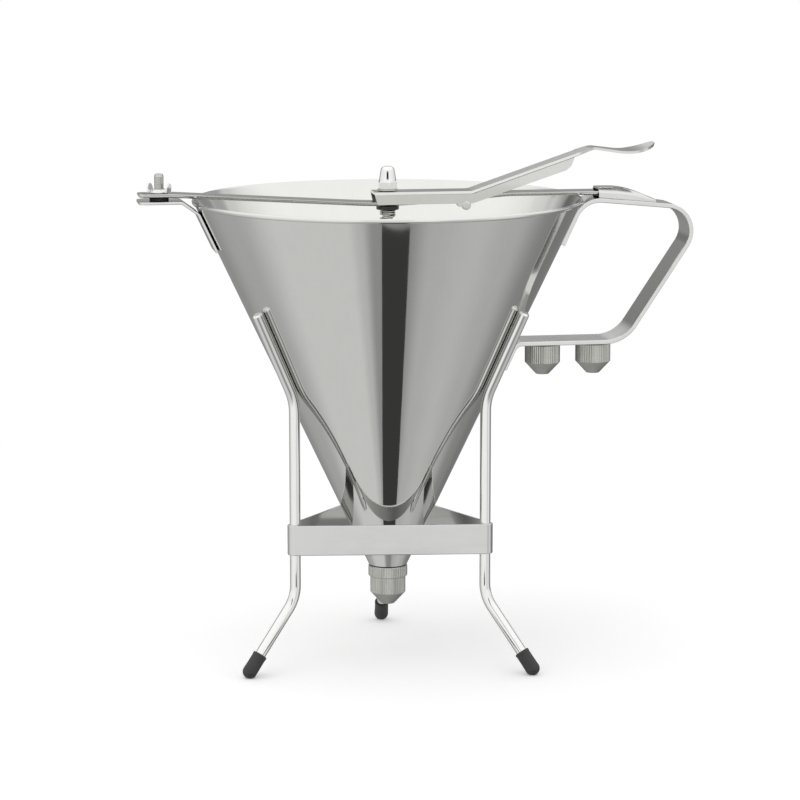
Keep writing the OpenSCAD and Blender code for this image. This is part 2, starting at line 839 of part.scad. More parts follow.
module lever() {
    color("lightgray")
        difference() {
            union() {
                intersection() {
                    bent_bar(lever_points, lever_bends)
                        square([lever_t, pad_w + bevel], center = true);
                    linear_extrude(2 * lever_top_z)
                        lever_plan();
                }
                for (side = [-1, 1])
                    translate([0, side * (lever_w - lever_t) / 2, 0])
                        side_plate(lever_t)
                            lever_side();
            }
            translate([pivot_x, 0, pivot_z])
                side_plate(2 * lever_w)
                    circle(pivot_d / 2 + seated);
            translate([0, 0, web_z - lever_t])
                linear_extrude(2 * lever_t) {
                    circle(d = slot_w);
                    translate([-slot_shift, 0])
                        circle(d = slot_w);
                    translate([-slot_shift, -slot_w / 2])
                        square([slot_shift, slot_w]);
                }
        }
}

// Valve -------------------------------------------------------------------

module valve_rod() {
    color("silver")
        translate([0, 0, stopper_socket_z + seated])
            cylinder(h = rod_top_z - stopper_socket_z - seated, d = rod_d);
}

// Turned plug that closes the nozzle's throat, with a socket for the rod
module valve_stopper() {
    socket_r = rod_d / 2 + seated;
    color("silver")
        rotate_extrude()
            polygon([
                [0, stopper_low_z], [stopper_tip_r, stopper_low_z], [stopper_d / 2, stopper_full_z],
                [stopper_d / 2, stopper_top_z - bevel], [stopper_d / 2 - bevel, stopper_top_z],
                [socket_r, stopper_top_z], [socket_r, stopper_socket_z], [0, stopper_socket_z]
            ]);
}

module spring_stop() {
    outer_r = spring_stop_d / 2;
    bore_r = rod_d / 2 + seated;
    color("silver")
        translate([0, 0, stop_z])
            rotate_extrude()
                polygon([
                    [bore_r, 0], [outer_r - bevel, 0], [outer_r, bevel],
                    [outer_r, spring_stop_h - bevel], [outer_r - bevel, spring_stop_h],
                    [bore_r, spring_stop_h]
                ]);
}

// Height of the spring's wire after a number of turns: closed coils, open coils, closed coils
spring_turns = spring_coils + 2 * closed_coils;
open_pitch = (spring_len - spring_wire - 2 * closed_coils * spring_wire) / spring_coils;
function coil_z(n) = spring_wire / 2 + spring_wire * min(n, closed_coils)
    + open_pitch * max(0, min(n - closed_coils, spring_coils))
    + spring_wire * max(0, n - closed_coils - spring_coils);

module return_spring() {
    steps = 14;
    sides = 6;
    rings = spring_turns * steps;
    points = [
        for (i = [0 : rings], k = [0 : sides - 1])
            let (turn = 360 * i / steps, around = 360 * k / sides)
            let (r = spring_coil_r + spring_wire / 2 * cos(around))
            [r * cos(turn), r * sin(turn), spring_low_z + coil_z(i / steps) + spring_wire / 2 * sin(around)]
    ];
    tube = [
        for (i = [0 : rings - 1], k = [0 : sides - 1])
            let (next = (k + 1) % sides)
            [i * sides + k, i * sides + next, (i + 1) * sides + next, (i + 1) * sides + k]
    ];
    first_end = [for (k = [sides - 1 : -1 : 0]) k];
    last_end = [for (k = [0 : sides - 1]) rings * sides + k];
    color("gray")
        polyhedron(points, concat(tube, [first_end, last_end]), convexity = 10);
}

module nut_washer() {
    color("silver")
        translate([0, 0, washer_z])
            difference() {
                cylinder(h = nut_washer_h, d = cap_nut_flats / cos(30) + bevel);
                translate([0, 0, -seated])
                    cylinder(h = nut_washer_h + 2 * seated, r = rod_d / 2 + seated);
            }
}

// Domed nut: a hexagon below a round cap that narrows to a rounded top
module cap_nut() {
    dome_r = cap_nut_flats / 2 - seated;
    dome_top_r = dome_r - 1;
    round_r = 2.4;
    color("silver")
        translate([0, 0, cap_nut_z])
            difference() {
                union() {
                    cylinder(h = cap_nut_hex_h, d = cap_nut_flats / cos(30), $fn = 6);
                    rotate_extrude() {
                        polygon([
                            [0, 0], [dome_r, 0], [dome_r, cap_nut_hex_h], [dome_top_r, cap_nut_h - round_r],
                            [dome_top_r - round_r, cap_nut_h], [0, cap_nut_h]
                        ]);
                        intersection() {
                            translate([dome_top_r - round_r, cap_nut_h - round_r])
                                circle(round_r);
                            square([dome_r, cap_nut_h]);
                        }
                    }
                }
                translate([0, 0, -seated])
                    cylinder(h = cap_nut_bore_h + seated, r = rod_d / 2 + seated);
            }
}

leg(leg_angles[0]);  // leg_left
leg(leg_angles[1]);  // leg_right
leg(leg_angles[2]);  // leg_rear
stand_band();
foot_cap(leg_angles[0]);  // foot_cap_left
foot_cap(leg_angles[1]);  // foot_cap_right
foot_cap(leg_angles[2]);  // foot_cap_rear
funnel_cone();
outlet_spigot();
collar_seal();
collar_ring();
nozzle_body(outlet_d);  // nozzle
nozzle_gasket();
handle_strip();
bar_hood();
spare_nozzle_studs();
spare_nozzle(spare_inner_x, spare_inner_outlet_d);  // spare_nozzle_inner
spare_nozzle(spare_outer_x, spare_outer_outlet_d);  // spare_nozzle_outer
ear_strip();
clamp_stud();
ear_washer();
wing_nut();
crossbar();
rod_guide();
pivot_barrel();
pivot_pin();
lever();
valve_rod();
valve_stopper();
spring_stop();
return_spring();
nut_washer();
cap_nut();
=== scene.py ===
"""Dresses the batter dispenser: a steel funnel with a lever valve, resting in a wire stand.

Laid out as an add-on and run as a script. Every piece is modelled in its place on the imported
frame, painted, and hung on the body that carries it. Outlines below are in millimetres.
"""
import math

import bmesh
import bpy
from bpy.props import FloatProperty, FloatVectorProperty, IntProperty, PointerProperty
from bpy.types import Operator, Panel, PropertyGroup
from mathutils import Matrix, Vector


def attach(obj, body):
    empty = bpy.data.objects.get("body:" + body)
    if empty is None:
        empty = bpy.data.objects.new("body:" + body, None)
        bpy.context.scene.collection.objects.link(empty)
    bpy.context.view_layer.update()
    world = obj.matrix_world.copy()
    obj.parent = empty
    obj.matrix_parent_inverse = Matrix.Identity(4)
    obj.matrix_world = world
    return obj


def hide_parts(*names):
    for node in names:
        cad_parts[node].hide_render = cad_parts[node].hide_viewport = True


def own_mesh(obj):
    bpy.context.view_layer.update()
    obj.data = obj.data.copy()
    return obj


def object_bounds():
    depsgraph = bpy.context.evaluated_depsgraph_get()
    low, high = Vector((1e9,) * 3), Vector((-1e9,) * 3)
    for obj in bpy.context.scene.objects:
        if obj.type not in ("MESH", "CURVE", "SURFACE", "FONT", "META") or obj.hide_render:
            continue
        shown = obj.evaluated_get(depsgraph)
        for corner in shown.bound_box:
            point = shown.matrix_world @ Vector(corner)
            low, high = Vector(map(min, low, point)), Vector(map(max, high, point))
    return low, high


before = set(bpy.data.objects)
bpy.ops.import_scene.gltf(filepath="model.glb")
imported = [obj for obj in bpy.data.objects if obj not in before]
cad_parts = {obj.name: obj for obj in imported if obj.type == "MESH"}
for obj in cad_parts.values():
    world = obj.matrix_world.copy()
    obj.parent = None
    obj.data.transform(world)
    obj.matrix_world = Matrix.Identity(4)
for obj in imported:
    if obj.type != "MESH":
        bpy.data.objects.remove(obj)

bl_info = {
    "name": "Batter dispenser",
    "version": (1, 0, 0),
    "blender": (4, 5, 0),
    "location": "View3D > Sidebar > Dispenser",
    "description": "Models and paints a steel batter dispenser on its wire stand",
    "category": "Object",
}

MM = 0.001
CAD_BOX = [list(corner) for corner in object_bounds()]
TABLE_Z = CAD_BOX[0][2]

# Bent pieces: centrelines in the XZ plane, with the radius of each bend
LEG_LINE, LEG_BENDS = ((69.9555, 142), (50.5, 100.642), (50.5, 8.635), (75, -22.95)), (25, 18)
LEG_TURNS = {"left": 203.5, "right": 323.5, "rear": 83.5}
WIRE_RADIUS = 2.5
HANDLE_LINE = (
    (80.4876, 168.5), (90.4641, 189.708), (150.445, 184.038), (110, 122.7), (58.9425, 122.7),
    (53.4088, 110.937),
)
HANDLE_BENDS = (12, 12, 17, 4)
# The hood's mouth stands here on the handle's top, which falls at this angle
HOOD_X, HOOD_FOOT, HANDLE_FALL = 98, 190.05, 5.4
EAR_LINE, EAR_BENDS = ((-115, 190.8), (-95.5, 190.8), (-87.9955, 185.4), (-79.8103, 168)), (3, 3)
BAR_LINE = ((-115, 193.8), (-100, 193.8), (0, 187.8), (56, 192), (106, 192))
BAR_BENDS = (60, 250, 60)
LEVER_LINE = ((-6.9, 193.4), (38.3, 193.4), (95.5, 212.761), (116.5, 209.81), (125.329, 214.504))
LEVER_BENDS = (6, 8, 30)
# Half the lever's width, its arm's slope, and where its sides end and its neck begins
LEVER_HALF, ARM_RISE, SIDE_END, NECK_START = 7.5, 0.33848, 86, 88

# Places in millimetres from the fitted nozzle's mouth
BAND_Z = 36
STUD_X = -105.2
PIVOT_X, PIVOT_Z = 35.4, 187.534
SPARE_XS = {"inner": (73.2117, 2), "outer": (97.3117, 1.5)}
SPARE_Z = 107.2


# --- Modelling ---

def deselect():
    bpy.ops.object.select_all(action="DESELECT")


def choose(piece):
    """Makes the piece the only selected and active object."""
    deselect()
    piece.select_set(True)
    bpy.context.view_layer.objects.active = piece


def opened(name):
    """Names the new primitive, puts its place in its mesh and opens it for editing."""
    piece = bpy.context.active_object
    piece.name = piece.data.name = name
    bpy.ops.object.transform_apply()
    bpy.ops.object.mode_set(mode="EDIT")
    bpy.ops.mesh.select_all(action="SELECT")
    return piece


def closed(piece, smooth=30):
    """Merges the seams, turns the faces outwards and leaves the mesh shaded smooth."""
    bpy.ops.mesh.select_mode(type="VERT")
    bpy.ops.mesh.select_all(action="SELECT")
    bpy.ops.mesh.remove_doubles(threshold=0.002 * MM)
    bpy.ops.mesh.normals_make_consistent(inside=False)
    bpy.ops.object.mode_set(mode="OBJECT")
    bpy.ops.object.shade_smooth_by_angle(angle=math.radians(smooth))
    return piece


def pick(piece, kind, passes):
    """Selects the vertices, edges or faces whose corners and middle, in mm, all pass a test."""
    bpy.ops.mesh.select_mode(type=kind)
    bpy.ops.mesh.select_all(action="DESELECT")
    shape = bmesh.from_edit_mesh(piece.data)
    for part in {"VERT": shape.verts, "EDGE": shape.edges, "FACE": shape.faces}[kind]:
        spots = [corner.co / MM for corner in ([part] if kind == "VERT" else part.verts)]
        spots.append(sum(spots, Vector()) / len(spots))
        part.select_set(all(passes(*spot) for spot in spots))
    bmesh.update_edit_mesh(piece.data)


def edit(piece):
    choose(piece)
    bpy.ops.object.mode_set(mode="EDIT")


def draw_out(move):
    """Extrudes what is selected by a move in metres."""
    bpy.ops.mesh.extrude_region_move(TRANSFORM_OT_translate={"value": tuple(move)})


def shift(x=0, z=0):
    """Moves what is selected by millimetres."""
    bpy.ops.transform.translate(value=(x * MM, 0, z * MM))


def scale(x=1, y=1, z=1, about=(0, 0, 0)):
    """Scales what is selected about a point in millimetres."""
    bpy.ops.transform.resize(value=(x, y, z), center_override=[place * MM for place in about])


def split(at, normal, keep_above=False):
    """Cuts the open mesh at a plane. It may drop what lies below the plane and cap the cut."""
    bpy.ops.mesh.select_all(action="SELECT")
    bpy.ops.mesh.bisect(
        plane_co=[place * MM for place in at], plane_no=normal, use_fill=keep_above,
        clear_inner=keep_above,
    )


def turned(name, outline, at=(0, 0), sides=64, hollow=False):
    """Turns a piece on an upright axis from radii and heights, as on a lathe.

    A hollow outline closes on itself, and any other starts with a flat disc.
    """
    if hollow:
        outline = [*outline, outline[0]]
    deselect()
    radius, z = outline[0]
    bpy.ops.mesh.primitive_circle_add(
        vertices=sides, radius=radius * MM, fill_type="NOTHING" if hollow else "NGON",
        location=(at[0] * MM, at[1] * MM, z * MM),
    )
    piece = opened(name)
    for (radius, z), (next_radius, next_z) in zip(outline, outline[1:]):
        draw_out((0, 0, (next_z - z) * MM))
        grow = next_radius / radius
        scale(grow, grow, about=(*at, next_z))
    return closed(piece)


def bevelled_ring(name, bore, radius, low, high, bevel, **options):
    """Turns a flat ring or a sleeve. Its outer edges have a bevel of this width and height."""
    wide, tall = bevel
    return turned(name, [
        (bore, low), (radius - wide, low), (radius, low + tall), (radius, high - tall),
        (radius - wide, high), (bore, high),
    ], hollow=True, **options)


def bent(name, section, points, bends, steps=8):
    """Draws a wire (radius) or a strip (thickness and width) along points, with true bends."""
    deselect()
    spots = [Vector((x, 0, z)) * MM for x, z in points]
    way = (spots[1] - spots[0]).normalized()
    place = {"location": spots[0], "rotation": (0, math.atan2(way.x, way.z), 0)}
    if isinstance(section, tuple):
        bpy.ops.mesh.primitive_plane_add(size=MM, **place)
        bpy.context.active_object.scale = (*section, 1)
    else:
        bpy.ops.mesh.primitive_circle_add(
            vertices=24, radius=section * MM, fill_type="NGON", **place
        )
    piece = opened(name)
    here = spots[0]
    for i in range(1, len(spots) - 1):
        way = (spots[i] - spots[i - 1]).normalized()
        onward = (spots[i + 1] - spots[i]).normalized()
        turn = way.angle(onward)
        axis = Vector((0, math.copysign(1, way.cross(onward).y), 0))
        trim = bends[i - 1] * MM * math.tan(turn / 2)
        end = spots[i] - way * trim
        draw_out(end - here)
        # The spin operator turns clockwise about its axis
        bpy.ops.mesh.spin(
            steps=steps, angle=turn, center=end + axis.cross(way) * bends[i - 1] * MM, axis=-axis
        )
        here = spots[i] + onward * trim
    draw_out(spots[-1] - here)
    return closed(piece)


def round_corners(piece, end_x, half_width, radius=3):
    """Rounds the two corners of a strip's end."""
    edit(piece)
    pick(piece, "EDGE", lambda x, y, z: abs(x - end_x) < 0.01 and abs(y) > half_width - 0.01)
    bpy.ops.mesh.bevel(offset=radius * MM, segments=8, affect="EDGES")
    return closed(piece)


def finish_with(piece, kind, **settings):
    """Adds a modifier, sets it up and applies it."""
    choose(piece)
    bpy.ops.object.modifier_add(type=kind)
    modifier = piece.modifiers[-1]
    for setting, value in settings.items():
        setattr(modifier, setting, value)
    bpy.ops.object.modifier_apply(modifier=modifier.name)


def soften(piece, width, angle=40, segments=2):
    """Rounds the sharp edges, as tumbling or a file leaves them."""
    finish_with(
        piece, "BEVEL", width=width * MM, segments=segments, limit_method="ANGLE",
        angle_limit=math.radians(angle), miter_outer="MITER_ARC",
    )
    bpy.ops.object.shade_smooth_by_angle(angle=math.radians(30))
    finish_with(piece, "WEIGHTED_NORMAL", keep_sharp=True)
    return piece


def combine(piece, tool, how="DIFFERENCE"):
    """Cuts the tool from the piece or welds it on, and deletes the tool."""
    finish_with(piece, "BOOLEAN", object=tool, operation=how, solver="EXACT")
    bpy.data.objects.remove(tool, do_unlink=True)
    return piece


def laid(piece, turn=(0, 0, 0), move=(0, 0, 0)):
    """Turns the piece about the origin by degrees, then moves it by millimetres, in its mesh."""
    choose(piece)
    piece.rotation_euler = [math.radians(angle) for angle in turn]
    piece.location = Vector(move) * MM
    bpy.ops.object.transform_apply()
    return piece


def copied(piece, name):
    twin = piece.copy()
    twin.data = piece.data.copy()
    twin.name = twin.data.name = name
    bpy.context.collection.objects.link(twin)
    return twin


def joined(pieces):
    choose(pieces[0])
    for piece in pieces[1:]:
        piece.select_set(True)
    bpy.ops.object.join()
    return pieces[0]


def drill(piece, radius, at, depth=40):
    """Drills an upright hole through the piece."""
    deselect()
    bpy.ops.mesh.primitive_cylinder_add(
        vertices=48, radius=radius * MM, depth=depth * MM, location=Vector(at) * MM
    )
    bit = opened("drill")
    return combine(piece, closed(bit))


def arc(x, z, wide, tall, angles):
    """Points of an arc about a centre, by their angles in degrees."""
    return [
        (x + wide * math.cos(math.radians(a)), z + tall * math.sin(math.radians(a))) for a in angles
    ]


def thread(radius, low, high, pitch=0.8, depth=0.3):
    """Outline of a screw thread's crests and roots, from low to high."""
    turns = max(1, round((high - low) / pitch))
    step = (high - low) / turns / 4
    outline = []
    for i in range(turns):
        z = low + 4 * i * step
        outline += [
            (radius - depth, z), (radius, z + step), (radius, z + 2 * step),
            (radius - depth, z + 3 * step),
        ]
    return outline


def hang(piece, body, paint, slot, *nodes):
    """Paints the finished piece, hangs it on its body and hides the solids that it stands for."""
    piece.data.materials.clear()
    piece.data.materials.append(finish(paint))
    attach(piece, body)
    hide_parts(*nodes)
    return piece


# --- Finishes ---

# Metres across a cloud of tone: 22 mm on metal and 6 mm on plastic
METAL_CLOUD, PLASTIC_CLOUD = 1 / 45, 6.25 * MM
CLOUD_SHARE = 0.35


def linear(colour):
    """An sRGB hex colour as linear red, green, blue and alpha."""
    parts = [int(colour[i : i + 2], 16) / 255 for i in (1, 3, 5)]
    return [c / 12.92 if c <= 0.04045 else ((c + 0.055) / 1.055) ** 2.4 for c in parts] + [1.0]


def shade(tree, kind, links=None, **settings):
    """Adds a node. links holds sockets or values for its inputs, and settings its own options."""
    node = tree.nodes.new("ShaderNode" + kind)
    for setting, value in settings.items():
        setattr(node, setting, value)
    for name, value in (links or {}).items():
        socket = node.inputs[name]
        if isinstance(value, bpy.types.NodeSocket):
            tree.links.new(value, socket)
        else:
            socket.default_value = value
    return node


def emptied(owner):
    """The node tree of a new material or world, without its first nodes."""
    owner.use_nodes = True
    owner.node_tree.nodes.clear()
    return owner.node_tree


def worn_metal(name, light, dark, smooth, rough, grain, relief):
    """A bare metal, whose colour and polish drift a little between two values.

    grain is the size of its marks along X, Y and Z in millimetres, and relief how far they show.
    """
    paint = bpy.data.materials.new(name)
    tree = emptied(paint)
    point = shade(tree, "TexCoord").outputs["Object"]
    along = shade(tree, "Mapping", {"Vector": point, "Scale": [1 / (size * MM) for size in grain]})
    marks = shade(
        tree, "TexNoise",
        {"Vector": along.outputs[0], "Scale": 1.0, "Detail": 3.0, "Roughness": 0.6},
    )
    cloud = shade(tree, "TexNoise", {"Vector": point, "Scale": 1 / METAL_CLOUD, "Detail": 2.0})
    both = shade(
        tree, "Mix", {0: CLOUD_SHARE, 2: marks.outputs[0], 3: cloud.outputs[0]}, data_type="FLOAT"
    )
    tone = shade(
        tree, "Mix", {0: both.outputs[0], 6: linear(light), 7: linear(dark)}, data_type="RGBA"
    )
    polish = shade(
        tree, "MapRange",
        {
            "Value": both.outputs[0], "From Min": 0.3, "From Max": 0.7,
            "To Min": smooth, "To Max": rough,
        },
    )
    bump = shade(
        tree, "Bump", {"Strength": relief, "Distance": 0.02 * MM, "Height": marks.outputs[0]}
    )
    shader = shade(tree, "BsdfPrincipled", {
        "Metallic": 1.0, "Base Color": tone.outputs[2], "Roughness": polish.outputs[0],
        "Normal": bump.outputs[0],
    })
    shade(tree, "OutputMaterial", {"Surface": shader.outputs[0]})
    return paint


def moulded(name, light, dark, rough, grain, relief, ior):
    """A moulded or dipped plastic: a faint skin texture, with grain as its size in millimetres."""
    paint = bpy.data.materials.new(name)
    tree = emptied(paint)
    point = shade(tree, "TexCoord").outputs["Object"]
    skin = shade(tree, "TexNoise", {"Vector": point, "Scale": 1 / (grain * MM), "Detail": 2.0})
    cloud = shade(tree, "TexNoise", {"Vector": point, "Scale": 1 / PLASTIC_CLOUD})
    tone = shade(
        tree, "Mix", {0: cloud.outputs[0], 6: linear(light), 7: linear(dark)}, data_type="RGBA"
    )
    polish = shade(
        tree, "MapRange",
        {"Value": cloud.outputs[0], "To Min": rough - 0.08, "To Max": rough + 0.08},
    )
    bump = shade(
        tree, "Bump", {"Strength": relief, "Distance": 0.05 * MM, "Height": skin.outputs[0]}
    )
    shader = shade(tree, "BsdfPrincipled", {
        "IOR": ior, "Base Color": tone.outputs[2], "Roughness": polish.outputs[0],
        "Normal": bump.outputs[0],
    })
    shade(tree, "OutputMaterial", {"Surface": shader.outputs[0]})
    return paint


def make_finishes():
    """All finishes of the dispenser by name."""
    # Real drawing lines, brush marks and tool rings are finer, and are drawn coarser to show
    finishes = [
        # Cold-rolled stainless sheet, mirror polished: it shows its surroundings, a little soft
        worn_metal("mirror_polished_sheet", "#DFDFDC", "#D7D7D4", 0.03, 0.06, (6, 6, 60), 0.012),
        # Drawn stainless wire, electropolished: bright, with faint lines along its length
        worn_metal("drawn_wire", "#EDEDEC", "#DFDFDD", 0.04, 0.09, (0.8, 0.8, 12), 0.03),
        # Slit stainless band, satin: soft reflections drawn out along its length
        worn_metal("satin_band", "#D0D0CE", "#C9C9C7", 0.1, 0.16, (20, 20, 4), 0.02),
        # Rolled stainless strip, brushed and then bent: grey, with short brush marks
        worn_metal("brushed_strip", "#DFDFDD", "#CDCDCB", 0.14, 0.24, (9, 0.5, 9), 0.1),
        # Pressed stainless sheet, tumbled: even satin with slightly cloudy patches
        worn_metal("tumbled_sheet", "#D8D8D5", "#CECECB", 0.1, 0.18, (4, 4, 4), 0.02),
        # Turned stainless bar: fine rings that the tool leaves round the axis
        worn_metal("turned_bar", "#CFCFCB", "#B2B2AE", 0.16, 0.3, (40, 40, 0.25), 0.25),
        # Knurled stainless bar: the rolled ridges keep a duller skin than the turned faces
        worn_metal("knurled_bar", "#C8C8C3", "#B2B2AC", 0.3, 0.42, (4, 4, 2), 0.05),
        # Nickel and chrome plated nut: almost a mirror
        worn_metal("chromed_nut", "#EDEDEC", "#E2E2E1", 0.03, 0.08, (5, 5, 5), 0.02),
        # Hard-drawn spring wire: darker steel with drawing lines
        worn_metal("spring_wire", "#DADAD6", "#BFBFBC", 0.12, 0.22, (0.5, 0.5, 0.5), 0.1),
        # Dipped soft PVC: black with a slight gloss and a faintly pebbled skin
        moulded("dipped_pvc", "#2A2A29", "#1E1E1E", 0.32, 0.6, 0.1, 1.53),
        # Turned black nylon: smooth and slightly waxy
        moulded("black_nylon", "#2A2A29", "#1F1F1F", 0.38, 0.4, 0.15, 1.53),
        # Moulded black rubber: matt
        moulded("black_rubber", "#272727", "#1C1C1C", 0.6, 0.5, 0.2, 1.52),
        # White silicone: soft, with a slight gloss
        moulded("white_silicone", "#EFEFEA", "#E2E2DC", 0.45, 0.5, 0.1, 1.41),
    ]
    return {finish.name: finish for finish in finishes}


def finish(name):
    return bpy.data.materials.get(name) or make_finishes()[name]


# --- Sizes that a user may change ---

class DispenserSizes(PropertyGroup):
    edge: FloatProperty(
        name="Strip edge", description="Rounding of the edges of strips and sheets",
        default=0.3 * MM, min=0, unit="LENGTH",
    )
    wire_end: FloatProperty(
        name="Wire end", description="Rounding of the cut ends of the legs",
        default=0.9 * MM, min=0, unit="LENGTH",
    )
    ridges: IntProperty(
        name="Knurl ridges", description="Number of ridges round a knurled piece",
        default=48, min=24,
    )
    ridge_depth: FloatProperty(
        name="Knurl depth", description="Depth of the knurling", default=0.22 * MM, unit="LENGTH"
    )
    thread_pitch: FloatProperty(
        name="Thread pitch", description="Distance between the crests of the studs' threads",
        default=0.8 * MM, min=0.4 * MM, unit="LENGTH",
    )
    spring_wire: FloatProperty(
        name="Spring wire", description="Diameter of the return spring's wire",
        default=1.0 * MM, unit="LENGTH",
    )
    spring_coils: IntProperty(
        name="Open coils", description="Coils of the return spring that work", default=8, min=4
    )


class DispenserStudio(PropertyGroup):
    lens: FloatProperty(
        name="Lens", description="Focal length of the camera", default=141.3,
        subtype="DISTANCE_CAMERA",
    )
    softbox: FloatProperty(
        name="Softbox", description="Power of the large lamp overhead", default=4.0, subtype="POWER"
    )
    fill: FloatProperty(
        name="Room light", description="Strength of the light from all round", default=0.82
    )
    flag: FloatVectorProperty(
        name="Flag colour", description="Colour of the dark card that the polished steel mirrors",
        default=(0.05, 0.05, 0.05), subtype="COLOR",
    )


def sizes():
    return bpy.context.scene.dispenser_sizes


def studio():
    return bpy.context.scene.dispenser_studio


# --- Stage: metres and degrees ---

TABLE_RADIUS, TABLE_BORDER = 8, 7.2
FADE_START, FADE_END = 0.2, 0.6
TABLE_LIFT = 0.14
CARD_SIZE, CARD_FLARE = (0.0364, 0.175), 1.9
CARD_AHEAD, CARD_ABOVE, CARD_TURN = 0.0505, 0.0005, -3.8
RAMP_TURN = 99
VIEW_PLACE, VIEW_TILT, VIEW_TURN = (-0.2253, -1.4223, 0.339), 80.44, -9.228

# Painted reflections: greys that only glossy rays see, so that the steel mirrors them, by their
# place round the dispenser: from 0 behind it, by the left, the front and the right, to 1 behind
# it again
LOW = (
    (0, 0.28), (0.05, 0.36), (0.16, 0.48), (0.26, 0.73), (0.405, 0.73), (0.435, 0.6),
    (0.467, 0.345), (0.54, 0.3), (0.61, 0.54), (0.7, 0.6), (0.78, 0.52), (0.86, 0.3),
    (0.95, 0.2), (1, 0.26),
)
LEVEL = (
    (0, 0.26), (0.06, 0.32), (0.16, 0.5), (0.24, 0.75), (0.3, 1), (0.4, 1.05), (0.575, 1.02),
    (0.6, 0.76), (0.65, 0.76), (0.68, 1), (0.72, 0.95), (0.775, 0.42), (0.84, 0.26),
    (0.92, 0.22), (1, 0.22),
)
# Above the horizon the painted reflection is brighter at the back
RISE = (
    (0, 0.33), (0.03, 0.34), (0.083, 0.17), (0.12, 0.35), (0.16, 0.85), (0.21, 1),
    (0.4, 1.12), (0.6, 1.12), (0.74, 0.98), (0.8, 0.92), (0.85, 0.76), (0.88, 0.38),
    (0.93, 0.3), (1, 0.33),
)
# A painted dark stripe in the reflection before the funnel, where nothing stands
PAINTED_DARK_STRIPE = (
    (0, 0.88), (0.03, 0.75), (0.09, 0.35), (0.15, 0.85), (0.21, 1), (0.452, 1.12),
    (0.464, 0.03), (0.536, 0.03), (0.548, 1.12), (0.74, 0.98), (0.8, 0.92), (0.88, 0.45),
    (0.95, 0.75), (1, 0.88),
)
OVERHEAD = ((0, 1.2),)
# Grey of the painted reflection below all zones
PAINTED_GROUND_REFLECTION = 0.5
# Heights between which each zone fades in, from -1 straight down to 1 straight up
REFLECTION_ZONES = (
    (-0.95, -0.91, LOW), (-0.55, -0.3, LEVEL), (-0.05, 0.05, RISE), (0.19, 0.22, PAINTED_DARK_STRIPE),
    (0.29, 0.33, RISE), (0.37, 0.58, OVERHEAD),
)


